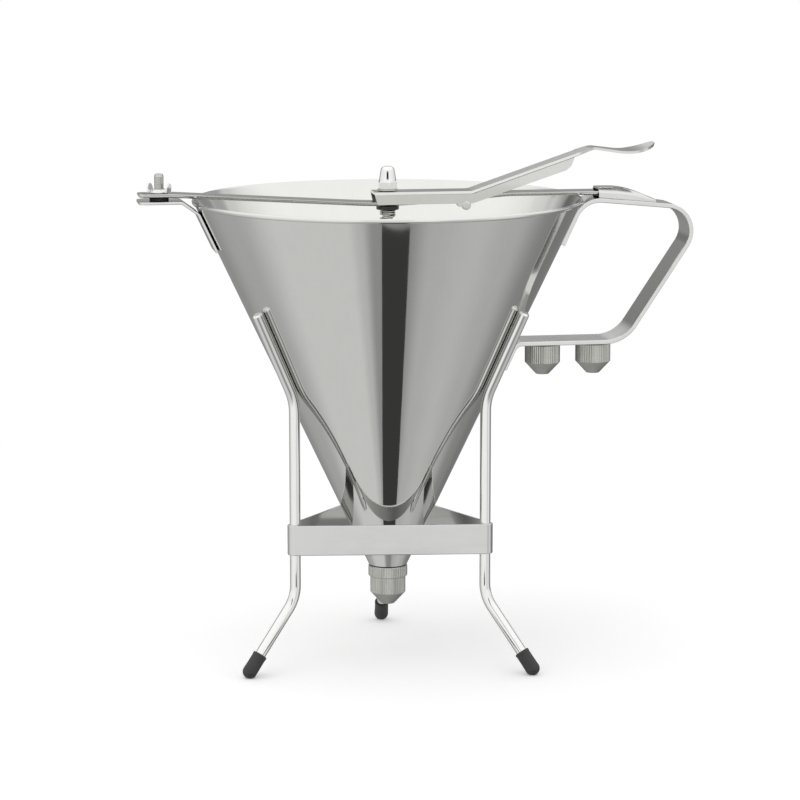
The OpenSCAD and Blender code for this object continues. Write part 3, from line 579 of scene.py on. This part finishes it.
class DISPENSER_OT_studio(Operator):
    """Sets up the white table, the dark card, the room's painted reflections that the steel
    mirrors, lamps and camera
    """

    bl_idname = "dispenser.studio"
    bl_label = "Studio"

    def execute(self, context):
        self.floor()
        self.flag()
        self.world()
        self.lamps()
        self.camera()
        context.scene.view_settings.view_transform = "Standard"
        return {"FINISHED"}

    def floor(self):
        deselect()
        bpy.ops.mesh.primitive_circle_add(
            vertices=96, radius=TABLE_RADIUS, fill_type="NGON", location=(0, 0, TABLE_Z)
        )
        floor = opened("table")
        bpy.ops.mesh.inset(thickness=TABLE_BORDER)
        closed(floor)
        paint = bpy.data.materials.new("white_table")
        tree = emptied(paint)
        point = shade(tree, "TexCoord").outputs["Object"]
        length = shade(tree, "VectorMath", {0: point}, operation="LENGTH").outputs["Value"]
        # Away from the dispenser the table fades to the white behind it
        far = shade(
            tree, "MapRange", {"Value": length, "From Min": FADE_START, "From Max": FADE_END},
            interpolation_type="SMOOTHSTEP",
        ).outputs[0]
        matt = shade(tree, "BsdfDiffuse", {"Color": linear("#FFFFFF")}).outputs[0]
        white = shade(tree, "Emission", {"Color": linear("#FFFFFF"), "Strength": 1.0}).outputs[0]
        # Seen by the camera, the table is lifted to white and keeps a light shadow
        seen = shade(tree, "LightPath").outputs["Is Camera Ray"]
        lift = shade(tree, "Math", {0: seen, 1: TABLE_LIFT}, operation="MULTIPLY").outputs[0]
        glow = shade(tree, "Emission", {"Color": linear("#FFFFFF"), "Strength": lift}).outputs[0]
        near = shade(tree, "AddShader", {0: matt, 1: glow}).outputs[0]
        both = shade(tree, "MixShader", {0: far, 1: near, 2: white}).outputs[0]
        shade(tree, "OutputMaterial", {"Surface": both})
        floor.data.materials.append(paint)
        floor.visible_glossy = False

    def flag(self):
        """The dark card lies on the table before the funnel, and only reflections show it: it is a
        painted dark reflection in the steel.
        """
        deselect()
        bpy.ops.mesh.primitive_plane_add(size=1, location=(0, -0.5, 0))
        card = opened("dark_card")
        scale(*CARD_SIZE)
        # Its far end is the wider one
        pick(card, "VERT", lambda x, y, z: y < -100)
        scale(CARD_FLARE)
        closed(card)
        laid(card, move=(0, -CARD_AHEAD / MM, (TABLE_Z + CARD_ABOVE) / MM))
        laid(card, (0, 0, CARD_TURN))
        paint = bpy.data.materials.new("black_card")
        tree = emptied(paint)
        colour = (*studio().flag, 1)
        # Its dim emission is the painted dark reflection that glossy rays meet
        glow = shade(tree, "Emission", {"Color": colour}).outputs[0]
        shade(tree, "OutputMaterial", {"Surface": glow})
        card.data.materials.append(paint)
        for ray in ("camera", "diffuse", "shadow", "transmission", "volume_scatter"):
            setattr(card, "visible_" + ray, False)

    def world(self):
        world = bpy.data.worlds.new("studio")
        bpy.context.scene.world = world
        tree = emptied(world)
        way = shade(tree, "TexCoord").outputs["Generated"]
        # Turned so that the middle of the ramp lies before the funnel and its ends behind it
        turned_way = shade(
            tree, "Mapping", {"Vector": way, "Rotation": (0, 0, math.radians(RAMP_TURN))}
        )
        round_about = shade(
            tree, "TexGradient", {"Vector": turned_way.outputs[0]}, gradient_type="RADIAL"
        )
        height = shade(tree, "SeparateXYZ", {"Vector": way}).outputs["Z"]
        # The painted reflection starts from one grey, and each zone's greys fade in over it
        painted_reflection = (*[PAINTED_GROUND_REFLECTION] * 3, 1)
        for bottom, top, greys in REFLECTION_ZONES:
            ramp = shade(tree, "ValToRGB", {"Fac": round_about.outputs["Fac"]})
            ramp.color_ramp.interpolation = "EASE"
            marks = ramp.color_ramp.elements
            marks.remove(marks[0])
            marks[0].position = 0
            for place, _ in greys[1:]:
                marks.new(place)
            for mark, (_, grey) in zip(marks, greys):
                mark.color = (grey, grey, grey, 1)
            up = shade(
                tree, "MapRange", {"Value": height, "From Min": bottom, "From Max": top},
                interpolation_type="SMOOTHSTEP",
            )
            painted_reflection = shade(
                tree, "Mix", {0: up.outputs[0], 6: painted_reflection, 7: ramp.outputs["Color"]},
                data_type="RGBA",
            ).outputs[2]
        # Only glossy rays see the painted reflection; other rays see the room's even light, and
        # camera and transmission rays see white
        rays = shade(tree, "LightPath").outputs
        room = (*[studio().fill] * 3, 1)
        seen = shade(
            tree, "Mix", {0: rays["Is Glossy Ray"], 6: room, 7: painted_reflection}, data_type="RGBA"
        ).outputs[2]
        plain = shade(
            tree, "Math", {0: rays["Is Camera Ray"], 1: rays["Is Transmission Ray"]},
            operation="MAXIMUM",
        ).outputs[0]
        colour = shade(
            tree, "Mix", {0: plain, 6: seen, 7: (1, 1, 1, 1)}, data_type="RGBA"
        ).outputs[2]
        light = shade(tree, "Background", {"Color": colour, "Strength": 1.0}).outputs[0]
        shade(tree, "OutputWorld", {"Surface": light})

    def lamps(self):
        # Sizes, places, points that they face, and shares of the softbox's power
        for name, size, place, aim, share in (
            ("overhead", 1.2, (-0.2, -0.2, 1.5), (0, 0, 0.1), 1),
            ("front_left", 0.7, (-1, -1.1, 0.7), (0, 0, 0.1), 0.35),
        ):
            lamp = bpy.data.lights.new(name, "AREA")
            lamp.shape, lamp.size = "SQUARE", size
            lamp.energy = studio().softbox * share
            stand = bpy.data.objects.new(name, lamp)
            stand.location = place
            stand.rotation_euler = (Vector(aim) - Vector(place)).to_track_quat("-Z", "Y").to_euler()
            stand.visible_glossy = False
            bpy.context.scene.collection.objects.link(stand)

    def camera(self):
        lens = bpy.data.cameras.new("view")
        lens.lens, lens.sensor_width = studio().lens, 36
        lens.clip_start, lens.clip_end = 0.05, 50
        view = bpy.data.objects.new("view", lens)
        view.location = VIEW_PLACE
        view.rotation_euler = (math.radians(VIEW_TILT), 0, math.radians(VIEW_TURN))
        bpy.context.scene.collection.objects.link(view)
        bpy.context.scene.camera = view


# --- Stand ---

def repeat_at_legs(piece, name, paint, slot, node):
    """Hangs a copy of the piece at each leg and removes the piece itself."""
    for side, turn in LEG_TURNS.items():
        hang(laid(copied(piece, name + side), (0, 0, turn)), "stand", paint, slot, node + side)
    bpy.data.objects.remove(piece, do_unlink=True)


class DISPENSER_OT_legs(Operator):
    """Bends one leg from round wire and copies it to its three places"""

    bl_idname = "dispenser.legs"
    bl_label = "Wire legs"

    def execute(self, context):
        leg = bent("leg", WIRE_RADIUS, LEG_LINE, LEG_BENDS, steps=10)
        soften(leg, sizes().wire_end / MM, segments=3)
        repeat_at_legs(leg, "wire_leg_", "drawn_wire", "wire_steel", "leg_")
        return {"FINISHED"}


class DISPENSER_OT_band(Operator):
    """Bends the triangular band that is welded round the legs"""

    bl_idname = "dispenser.band"
    bl_label = "Band"

    def execute(self, context):
        # The sides run through the leg centres' triangle, moved out to the band's middle
        reach, radius = 50.5, 3.05
        grown = [
            ((reach + 2 * radius) * x / reach, (reach + 2 * radius) * y / reach)
            for x, y in arc(0, 0, reach, reach, (0, 120, 240))
        ]
        start = ((grown[2][0] + grown[0][0]) / 2, (grown[2][1] + grown[0][1]) / 2)
        band = bent("stand_strip", (1, 14), (start, *grown, start), (radius,) * 3, steps=10)
        edit(band)
        bpy.ops.mesh.select_all(action="DESELECT")
        bpy.ops.mesh.select_mode(type="FACE")
        bpy.ops.mesh.select_interior_faces()
        bpy.ops.mesh.delete(type="FACE")
        closed(band)
        soften(band, sizes().edge / MM)
        laid(band, (90, 0, 0))
        laid(band, (0, 0, LEG_TURNS["rear"]), (0, 0, BAND_Z))
        hang(band, "stand", "satin_band", "band_steel", "stand_band")
        return {"FINISHED"}


class DISPENSER_OT_foot_caps(Operator):
    """Dips one soft cap with a rolled lip, flattened where it stands, and copies it to the feet"""

    bl_idname = "dispenser.foot_caps"
    bl_label = "Foot caps"

    def execute(self, context):
        radius, lean = 3.4, 37.8
        foot_x, foot_z = LEG_LINE[-1]
        cap = turned("cap", [
            *arc(0, 0, radius, radius, range(-84, 0, 12)), (radius, 0), (3.3, 3), (3.28, 7.6),
            (3.4, 8.2), (3.4, 8.8), (3.2, 9.1), (2.75, 9.1), (2.55, 8.8), (2.55, 0.1),
        ], sides=40)
        laid(cap, (0, -lean, 0), (foot_x, 0, foot_z))
        edit(cap)
        split((0, 0, TABLE_Z / MM), (0, 0, 1), keep_above=True)
        closed(cap)
        repeat_at_legs(cap, "soft_cap_", "dipped_pvc", "black_plastic", "foot_cap_")
        return {"FINISHED"}


# --- Funnel ---

class DISPENSER_OT_shell(Operator):
    """Rolls the cone from sheet and curls its rim"""

    bl_idname = "dispenser.shell"
    bl_label = "Funnel shell"

    def execute(self, context):
        # The wall is measured level, across its slope
        slope, wall, end_radius, end_z = 0.470416, 0.884, 9, 19
        outer = [
            (end_radius + slope * (z - end_z), z)
            for z in (end_z, 40, 62, 84, 106, 128, 150, 170, 186)
        ]
        # The sheet curls outwards over its own edge, and the inside stays smooth
        bead = arc(89.29, 189.7, 0.71, 1.1, range(-125, 148, 16))
        inner = [(r - wall, z) for r, z in reversed(outer)]
        shell = turned("funnel_shell", [*outer, *bead, *inner], sides=160, hollow=True)
        hang(shell, "funnel", "mirror_polished_sheet", "funnel_steel", "funnel_cone")
        return {"FINISHED"}


def knurl(piece, at, low, high, radius):
    """Presses straight ridges into a turned piece with four columns for each ridge."""
    ridges, depth = sizes().ridges, sizes().ridge_depth / MM
    edit(piece)
    # The first column of a ridge keeps its radius, and the others sink by a share of the depth
    for column, share in ((1, 0.4), (2, 1), (3, 0.4)):
        def in_column(x, y, z):
            x, y = x - at[0], y - at[1]
            turn = round(math.atan2(y, x) / math.tau * 4 * ridges)
            return turn % 4 == column and low < z < high and math.hypot(x, y) > radius - 1

        pick(piece, "VERT", in_column)
        sink = 1 - share * depth / radius
        scale(sink, sink, about=(*at, 0))
    return closed(piece, 20)


def knurled_nozzle(name, at, low, outlet):
    """A nozzle: knurled grip, tapered mouth and stepped bore."""
    grip = 8.25
    outline = [
        (outlet, 0), (3.05, 0), (3.3, 0.25), (grip, 5.6), (grip, 13.75), (7.8, 14.2), (5.76, 14.2),
        (5.76, 6.6), (4.3, 6.6), (4.3, 6.3), (outlet, 3.5),
    ]
    piece = turned(
        name, [(r, z + low) for r, z in outline], at, sides=4 * sizes().ridges, hollow=True
    )
    return knurl(piece, at, low + 5, low + 15, grip)


class DISPENSER_OT_outlet(Operator):
    """Turns the threaded spigot, its seal and the knurled collar ring under the cone"""

    bl_idname = "dispenser.outlet"
    bl_label = "Outlet"

    def execute(self, context):
        spigot = turned("threaded_spigot", [
            (4.3, 7.6), *thread(5.7, 7.6, 18.6, 1.2, 0.35), (5.7, 19), (8.05, 19), (9.7, 22.5),
            (4.3, 19.8),
        ], hollow=True)
        hang(spigot, "funnel", "turned_bar", "turned_steel", "outlet_spigot")
        seal = bevelled_ring("flat_seal", 5.75, 8.75, 18.45, 18.95, (0.2, 0.15))
        hang(seal, "funnel", "black_rubber", "black_rubber", "collar_seal")
        ring = turned("knurled_ring", [
            (8.55, 13.2), (8.75, 13.2), (9.15, 13.6), (9.15, 18), (8.75, 18.4), (5.76, 18.4),
            (5.76, 14.5), (8.55, 14.5),
        ], sides=4 * sizes().ridges, hollow=True)
        knurl(ring, (0, 0), 13.5, 18.1, 9.15)
        hang(ring, "collar_ring", "knurled_bar", "knurled_steel", "collar_ring")
        return {"FINISHED"}


class DISPENSER_OT_nozzles(Operator):
    """Turns and knurls the fitted nozzle with its gasket, and the two spare ones"""

    bl_idname = "dispenser.nozzles"
    bl_label = "Nozzles"

    def execute(self, context):
        fitted = knurled_nozzle("fitted_nozzle", (0, 0), 0, 2.5)
        hang(fitted, "nozzle", "knurled_bar", "knurled_steel", "nozzle")
        gasket = bevelled_ring("soft_gasket", 4.3, 5.7, 6.65, 7.55, (0.1, 0.15))
        hang(gasket, "nozzle", "white_silicone", "white_silicone", "nozzle_gasket")
        for side, (x, outlet) in SPARE_XS.items():
            spare = knurled_nozzle("spare_" + side, (x, 0), SPARE_Z, outlet)
            node = "spare_nozzle_" + side
            hang(spare, node, "knurled_bar", "knurled_steel", node)
        return {"FINISHED"}


# --- Handle ---

class DISPENSER_OT_handle(Operator):
    """Bends the handle from flat strip, and turns the studs under it for the spare nozzles"""

    bl_idname = "dispenser.handle"
    bl_label = "Handle"

    def execute(self, context):
        strip = bent("bent_handle", (2, 20.5), HANDLE_LINE, HANDLE_BENDS, steps=12)
        soften(strip, sizes().edge / MM)
        hang(strip, "funnel", "brushed_strip", "strip_steel", "handle_strip")
        studs = []
        for x, _ in SPARE_XS.values():
            low, high = 114.65, 121.65
            studs.append(turned("threaded_stud_%d" % x, [
                (5, low), *thread(5.7, low + 0.4, high - 0.4, 1.2, 0.35), (5.7, high - 0.2),
                (5.7, high),
            ], at=(x, 0), sides=48))
        hang(joined(studs), "funnel", "turned_bar", "turned_steel", "spare_nozzle_studs")
        return {"FINISHED"}


class DISPENSER_OT_hood(Operator):
    """Folds the hood that holds the crossbar's end, open towards the funnel"""

    bl_idname = "dispenser.hood"
    bl_label = "Hood"

    def execute(self, context):
        mouth, fall, end, half, top, stations = HOOD_X, 104, 125, 7.3, 194.5, 8
        tall, end_tall = 5.02, 1.3
        deselect()
        bpy.ops.mesh.primitive_cube_add(size=MM)
        block = bpy.context.active_object
        block.scale = (end - mouth, 2 * half, tall)
        block.location = ((mouth + end) / 2 * MM, 0, tall / 2 * MM)
        hood = opened("folded_hood")
        pick(hood, "EDGE", lambda x, y, z: abs(y) > half - 0.01 and z > tall - 0.01)
        bpy.ops.mesh.bevel(offset=2.6 * MM, segments=6, profile=0.32, affect="EDGES")
        ways = [i / stations for i in range(stations + 1)]
        places = [fall + (end - fall) * way for way in ways]
        for x in places[:-1]:
            split((x, 0, 0), (1, 0, 0))
        # The underside follows the handle, and the top falls to it in a long curve
        falls = [math.cos(math.radians(90 * way)) ** 1.2 for way in ways]
        for x, share in zip((mouth, *places), (1, *falls)):
            foot = self.foot(x)
            height = end_tall + (top - foot - end_tall) * share
            pick(hood, "VERT", lambda a, b, c: abs(a - x) < 0.01 and c < tall + 0.1)
            scale(z=height / tall)
            shift(z=foot)
        pick(hood, "FACE", lambda a, b, c: a < mouth + 0.01 or a > end - 0.01)
        bpy.ops.mesh.delete(type="FACE")
        pick(hood, "FACE", lambda a, b, c: c < self.foot(a) + 0.05)
        bpy.ops.mesh.delete(type="FACE")
        closed(hood)
        finish_with(hood, "SOLIDIFY", thickness=0.9 * MM, offset=-1, use_even_offset=True)
        soften(hood, 0.35, angle=50)
        hang(hood, "funnel", "brushed_strip", "strip_steel", "bar_hood")
        return {"FINISHED"}

    def foot(self, x):
        """Height of the handle's top, on which the hood stands."""
        return HOOD_FOOT - (x - HOOD_X) * math.tan(math.radians(HANDLE_FALL))


# --- Clamp ---

class DISPENSER_OT_clamp(Operator):
    """Makes the ear with its stud, the washer and the pressed wing nut that hold the crossbar"""

    bl_idname = "dispenser.clamp"
    bl_label = "Clamp"

    def execute(self, context):
        width, (end_x, flat_z) = 19, EAR_LINE[0]
        ear = bent("bent_ear", (1.2, width), EAR_LINE, EAR_BENDS)
        drill(round_corners(ear, end_x, width / 2), 2.3, (STUD_X, 0, flat_z))
        soften(ear, 0.25)
        hang(ear, "funnel", "brushed_strip", "strip_steel", "ear_strip")
        pitch = sizes().thread_pitch / MM
        stud = turned("clamping_stud", [
            (2, 190.2), (2.25, 190.4), (2.25, 195.6), *thread(2.25, 195.8, 202.7, pitch, 0.2),
            (2, 203.1), (1.6, 203.5),
        ], at=(STUD_X, 0), sides=40)
        hang(stud, "funnel", "turned_bar", "turned_steel", "clamp_stud")
        washer = bevelled_ring(
            "rubber_washer", 2.3, 4.4, 191.45, 192.85, (0.2, 0.2), at=(STUD_X, 0), sides=48
        )
        hang(washer, "funnel", "black_rubber", "black_rubber", "ear_washer")
        hang(self.wing_nut(), "wing_nut", "chromed_nut", "wing_nut_steel", "wing_nut")
        return {"FINISHED"}

    def wing_nut(self):
        base = 194.8
        nut = turned("pressed_wing_nut", [
            (2.31, 0), (4.15, 0), (4.4, 0.25), (4.4, 0.8), (4.15, 1), (3.6, 1.05), (3.31, 1.3),
            (3.31, 1.6), (3.1, 1.8), (2.5, 1.8), (2.31, 1.6),
        ], sides=48, hollow=True)
        for side in (0, 180):
            deselect()
            bpy.ops.mesh.primitive_circle_add(
                vertices=40, radius=2.5 * MM, fill_type="NGON", location=(-0.5 * MM, 0, 1.9 * MM),
                rotation=(0, math.pi / 2, 0),
            )
            wing = opened("wing")
            draw_out((1 * MM, 0, 0))
            split((0, 0, 1.9), (0, 0, 1), keep_above=True)
            pick(wing, "FACE", lambda x, y, z: z < 1.91)
            draw_out((0, 0, -1.6 * MM))
            soften(closed(wing), 0.25)
            # Each wing stands near the nut's edge and leans out
            laid(wing, (0, 8, 0), (4.35, 0, 0))
            combine(nut, laid(wing, (0, 0, side)), "UNION")
        return laid(nut, (0, 0, 150), (STUD_X, 0, base))


# --- Crossbar ---

class DISPENSER_OT_crossbar(Operator):
    """Bends and drills the crossbar, and adds the rod's guide bush and the pivot's barrel"""

    bl_idname = "dispenser.crossbar"
    bl_label = "Crossbar"

    def execute(self, context):
        width, (end_x, end_z) = 12, BAR_LINE[0]
        bar = bent("bent_crossbar", (1.8, width), BAR_LINE, BAR_BENDS)
        round_corners(bar, end_x, width / 2)
        edit(bar)
        # The die rolls the lower edges round and leaves the upper ones crisp
        for side, radius in ((-1, 1.5), (1, 0.2)):
            pick(bar, "FACE", lambda x, y, z: side * (z - self.middle(x)) > 0.1)
            bpy.ops.mesh.region_to_loop()
            bpy.ops.mesh.bevel(offset=radius * MM, segments=6 if side < 0 else 2, affect="EDGES")
        closed(bar)
        # Holes for the clamp's stud and the rod's bush
        drill(bar, 2.55, (STUD_X, 0, end_z))
        drill(bar, 3.41, (0, 0, 188.4))
        hang(bar, "funnel", "tumbled_sheet", "crossbar_steel", "crossbar")
        bush = turned("guide_bush", [
            (2.56, 185.52), (5, 185.52), (5.25, 185.75), (5.25, 187.2), (5, 187.42),
            (3.36, 187.42), (3.36, 189.55), (3.24, 189.67), (2.66, 189.67), (2.56, 189.55),
        ], hollow=True)
        hang(bush, "funnel", "black_nylon", "black_plastic", "rod_guide")
        barrel = bevelled_ring("welded_barrel", 1.16, 1.96, -6, 6, (0.16, 0.16), sides=40)
        laid(barrel, (90, 0, 0), (PIVOT_X, 0, PIVOT_Z))
        hang(barrel, "funnel", "turned_bar", "turned_steel", "pivot_barrel")
        return {"FINISHED"}

    def middle(self, x):
        """Height of the bar's middle, with its bends taken as corners."""
        for (x0, z0), (x1, z1) in zip(BAR_LINE, BAR_LINE[1:]):
            if x <= x1 + 0.01:
                return z0 + (z1 - z0) * (x - x0) / (x1 - x0)


# --- Lever ---

class DISPENSER_OT_lever(Operator):
    """Presses the lever from sheet: a channel over the bar, a narrow neck and a round thumb pad"""

    bl_idname = "dispenser.lever"
    bl_label = "Lever"

    def execute(self, context):
        lever = self.pressed_sheet()
        self.slot(lever)
        soften(lever, 0.3, angle=50)
        hang(lever, "lever", "tumbled_sheet", "lever_steel", "lever")
        pin = turned("pivot_pin_riveted", [
            (1, -7.72), (1.6, -7.7), (1.85, -7.62), (1.9, -7.56), (1.1, -7.56), (1.1, 7.56),
            (1.9, 7.56), (1.85, 7.62), (1.6, 7.7), (1, 7.72),
        ], sides=32)
        laid(pin, (90, 0, 0), (PIVOT_X, 0, PIVOT_Z))
        hang(pin, "lever", "tumbled_sheet", "turned_steel", "pivot_pin")
        return {"FINISHED"}

    def half_width(self, x):
        """Half the width of the sheet at a distance from the rod, past the end of its sides."""
        # The neck is narrowest here, and the pad is a disc that the shoulders run into
        neck_x, neck, pad_x, pad_r = 95.9, 5.75, 115.329, 10.0
        lean = math.asin((pad_r - neck) / (pad_x - neck_x))
        shoulder_x, shoulder = pad_x - pad_r * math.sin(lean), pad_r * math.cos(lean)
        if x < neck_x:
            way = (x - NECK_START) / (neck_x - NECK_START)
            return LEVER_HALF + (neck - LEVER_HALF) * (3 - 2 * way) * way ** 2
        if x < shoulder_x:
            return neck + (shoulder - neck) * ((x - neck_x) / (shoulder_x - neck_x)) ** 1.35
        return max(0.6, math.sqrt(max(0, pad_r ** 2 - (x - pad_x) ** 2)))

    def sheet_z(self, x):
        """Height of the sheet's middle along the arm."""
        arm_x, arm_z = LEVER_LINE[1]
        return arm_z + max(0, x - arm_x) * ARM_RISE

    def pressed_sheet(self):
        web = bent("pressed_lever", (1.2, 2 * LEVER_HALF), LEVER_LINE, LEVER_BENDS, steps=24)
        edit(web)
        fold, drop, corner_start = 6.3, 4.5, 84.6
        for x in (82.4, corner_start, SIDE_END, NECK_START, 89.6, 91.2, 92.8, 101, 103, 105, 107):
            split((x, 0, 0), (1, 0, 0))
        bpy.ops.object.mode_set(mode="OBJECT")
        places = {round(corner.co.x / MM, 3) for corner in web.data.vertices}
        edit(web)
        for ring in sorted(place for place in places if place > NECK_START + 0.01):
            pick(web, "VERT", lambda x, y, z: round(x, 3) == ring)
            scale(y=self.half_width(ring) / LEVER_HALF)
        # The two sides are folded down from the sheet's edges
        for y in (-fold, fold):
            split((0, y, 0), (0, 1, 0))
        pick(
            web, "FACE",
            lambda x, y, z: abs(y) > fold - 0.01 and x < SIDE_END + 0.01 and z < self.sheet_z(x),
        )
        draw_out((0, 0, -drop * MM))

        def low(x, z):
            return z < self.sheet_z(x) - 3

        # Past the bend the sides reach a little lower
        pick(web, "VERT", lambda x, y, z: 39.5 < x < SIDE_END + 0.01 and low(x, z))
        shift(z=-0.25)
        # The sides end in a round corner
        for corner_x, rise in ((SIDE_END, 3.9), (corner_start, 1.1)):
            pick(web, "VERT", lambda x, y, z: abs(x - corner_x) < 0.1 and low(x, z))
            shift(z=rise)
        pick(
            web, "EDGE",
            lambda x, y, z: (
                abs(y) > LEVER_HALF - 0.01 and x < NECK_START + 0.01 and z > self.sheet_z(x)
            ),
        )
        bpy.ops.mesh.bevel(offset=1.3 * MM, segments=6, affect="EDGES")
        # Their other end leans in a little
        pick(web, "VERT", lambda x, y, z: x < -6.8 and low(x, z))
        shift(x=1.1)
        pick(web, "EDGE", lambda x, y, z: abs(y) > 6.2 and x < -5.7 and z < 188.4)
        bpy.ops.mesh.bevel(offset=0.8 * MM, segments=3, affect="EDGES")
        closed(web)
        for y in (-6.9, 6.9):
            deselect()
            bpy.ops.mesh.primitive_cylinder_add(
                vertices=40, radius=2.3 * MM, depth=1.2 * MM, rotation=(math.pi / 2, 0, 0),
                location=(PIVOT_X * MM, y * MM, PIVOT_Z * MM),
            )
            combine(web, closed(opened("lug")), "UNION")
        return web

    def slot(self, lever):
        """Cuts the slot that lets the lever swing on the rod."""
        deselect()
        bpy.ops.mesh.primitive_cylinder_add(
            vertices=64, radius=2.8 * MM, depth=4 * MM, location=(0, 0, LEVER_LINE[0][1] * MM)
        )
        punch = opened("punch")
        pick(punch, "VERT", lambda x, y, z: x < 0)
        shift(x=-1.66)
        combine(lever, closed(punch))


# --- Valve ---

class DISPENSER_OT_valve(Operator):
    """Turns the valve rod, its stopper and the collar that carries the spring"""

    bl_idname = "dispenser.valve"
    bl_label = "Valve"

    def execute(self, context):
        rod = turned("turned_rod", [
            (2.2, 9.86), (2.5, 10.1), (2.5, 189), (2.5, 193.6), *thread(2.5, 194, 202.6, 0.8, 0.28),
            (2, 203.05),
        ], sides=48)
        hang(rod, "rod", "turned_bar", "rod_steel", "valve_rod")
        stopper = turned("turned_stopper", [
            (2.15, 3.8), (2.343, 3.9), (3.4, 5.444), (3.4, 17.4), (3, 17.8), (2.56, 17.8),
            (2.56, 9.82),
        ], sides=48)
        hang(stopper, "rod", "turned_bar", "rod_steel", "valve_stopper")
        stop = bevelled_ring("spring_collar", 2.55, 4.75, 151.42, 155.42, (0.4, 0.4))
        hang(stop, "rod", "turned_bar", "turned_steel", "spring_stop")
        return {"FINISHED"}


class DISPENSER_OT_spring(Operator):
    """Winds the return spring, with closed coils at both ends"""

    bl_idname = "dispenser.spring"
    bl_label = "Return spring"

    def execute(self, context):
        wire, coils, shut = sizes().spring_wire / MM, sizes().spring_coils, 2
        low, length, radius, steps = 155.469, 30, 3.26, 18
        pitch = (length - wire - 2 * shut * wire) / coils
        deselect()
        bpy.ops.mesh.primitive_circle_add(
            vertices=10, radius=wire / 2 * MM, fill_type="NGON",
            location=(radius * MM, 0, (low + wire / 2) * MM), rotation=(math.pi / 2, 0, 0),
        )
        spring = opened("coiled_spring")
        for i in range((coils + 2 * shut) * steps):
            rise = pitch if shut * steps <= i < (shut + coils) * steps else wire
            draw_out((0, 0, rise / steps * MM))
            bpy.ops.transform.rotate(
                value=-math.tau / steps, orient_axis="Z", center_override=(0, 0, 0)
            )
        bpy.ops.mesh.select_all(action="SELECT")
        bpy.ops.mesh.normals_make_consistent(inside=False)
        bpy.ops.object.mode_set(mode="OBJECT")
        bpy.ops.object.shade_smooth_by_angle(angle=math.radians(60))
        hang(spring, "funnel", "spring_wire", "spring_steel", "return_spring")
        # The rod's travel of 7.3 mm leaves 0.757 of the spring's length
        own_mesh(spring)
        return {"FINISHED"}


class DISPENSER_OT_cap_nut(Operator):
    """Makes the plated cap nut with its washer"""

    bl_idname = "dispenser.cap_nut"
    bl_label = "Cap nut"

    def execute(self, context):
        washer = bevelled_ring("plain_washer", 2.55, 4.82, 194.3, 194.9, (0.17, 0.15))
        hang(washer, "rod", "turned_bar", "turned_steel", "nut_washer")
        low = 194.95
        nut = turned("domed_nut", [
            (3.97, low), (3.97, low + 3.9), (3.9, low + 4.4),
            *arc(1.05, 203.25, 2.2, 2.2, range(10, 91, 10)), (0.2, low + 10.5),
        ], sides=64)
        hexagon = turned("hexagon", [
            (4.4, low), (4.6188, low + 0.25), (4.6188, low + 3.4), (4.1, low + 3.9),
        ], sides=6)
        combine(nut, soften(hexagon, 0.15, angle=20), "UNION")
        drill(nut, 2.55, (0, 0, low), depth=16.9)
        edit(nut)
        closed(nut, 25)
        hang(nut, "rod", "chromed_nut", "cap_nut_steel", "cap_nut")
        return {"FINISHED"}


# --- Panel and registration ---

STEPS = (
    DISPENSER_OT_studio, DISPENSER_OT_legs, DISPENSER_OT_band, DISPENSER_OT_foot_caps,
    DISPENSER_OT_shell, DISPENSER_OT_outlet, DISPENSER_OT_nozzles, DISPENSER_OT_handle,
    DISPENSER_OT_hood, DISPENSER_OT_clamp, DISPENSER_OT_crossbar, DISPENSER_OT_lever,
    DISPENSER_OT_valve, DISPENSER_OT_spring, DISPENSER_OT_cap_nut,
)


class DISPENSER_PT_pieces(Panel):
    """Lists the dispenser's sizes and pieces"""

    bl_label = "Batter dispenser"
    bl_idname = "DISPENSER_PT_pieces"
    bl_space_type = "VIEW_3D"
    bl_region_type = "UI"
    bl_category = "Dispenser"

    def draw(self, context):
        layout = self.layout
        for group in (context.scene.dispenser_sizes, context.scene.dispenser_studio):
            box = layout.box()
            for setting in group.bl_rna.properties:
                if setting.identifier not in ("name", "rna_type"):
                    box.prop(group, setting.identifier)
        for step in STEPS:
            layout.operator(step.bl_idname)


def register():
    for cls in (DispenserSizes, DispenserStudio, *STEPS, DISPENSER_PT_pieces):
        bpy.utils.register_class(cls)
    bpy.types.Scene.dispenser_sizes = PointerProperty(type=DispenserSizes)
    bpy.types.Scene.dispenser_studio = PointerProperty(type=DispenserStudio)


def unregister():
    del bpy.types.Scene.dispenser_studio
    del bpy.types.Scene.dispenser_sizes
    for cls in reversed((DispenserSizes, DispenserStudio, *STEPS, DISPENSER_PT_pieces)):
        bpy.utils.unregister_class(cls)


def main():
    register()
    make_finishes()
    for step in STEPS:
        group, call = step.bl_idname.split(".")
        getattr(getattr(bpy.ops, group), call)()


if __name__ == "__main__":
    main()
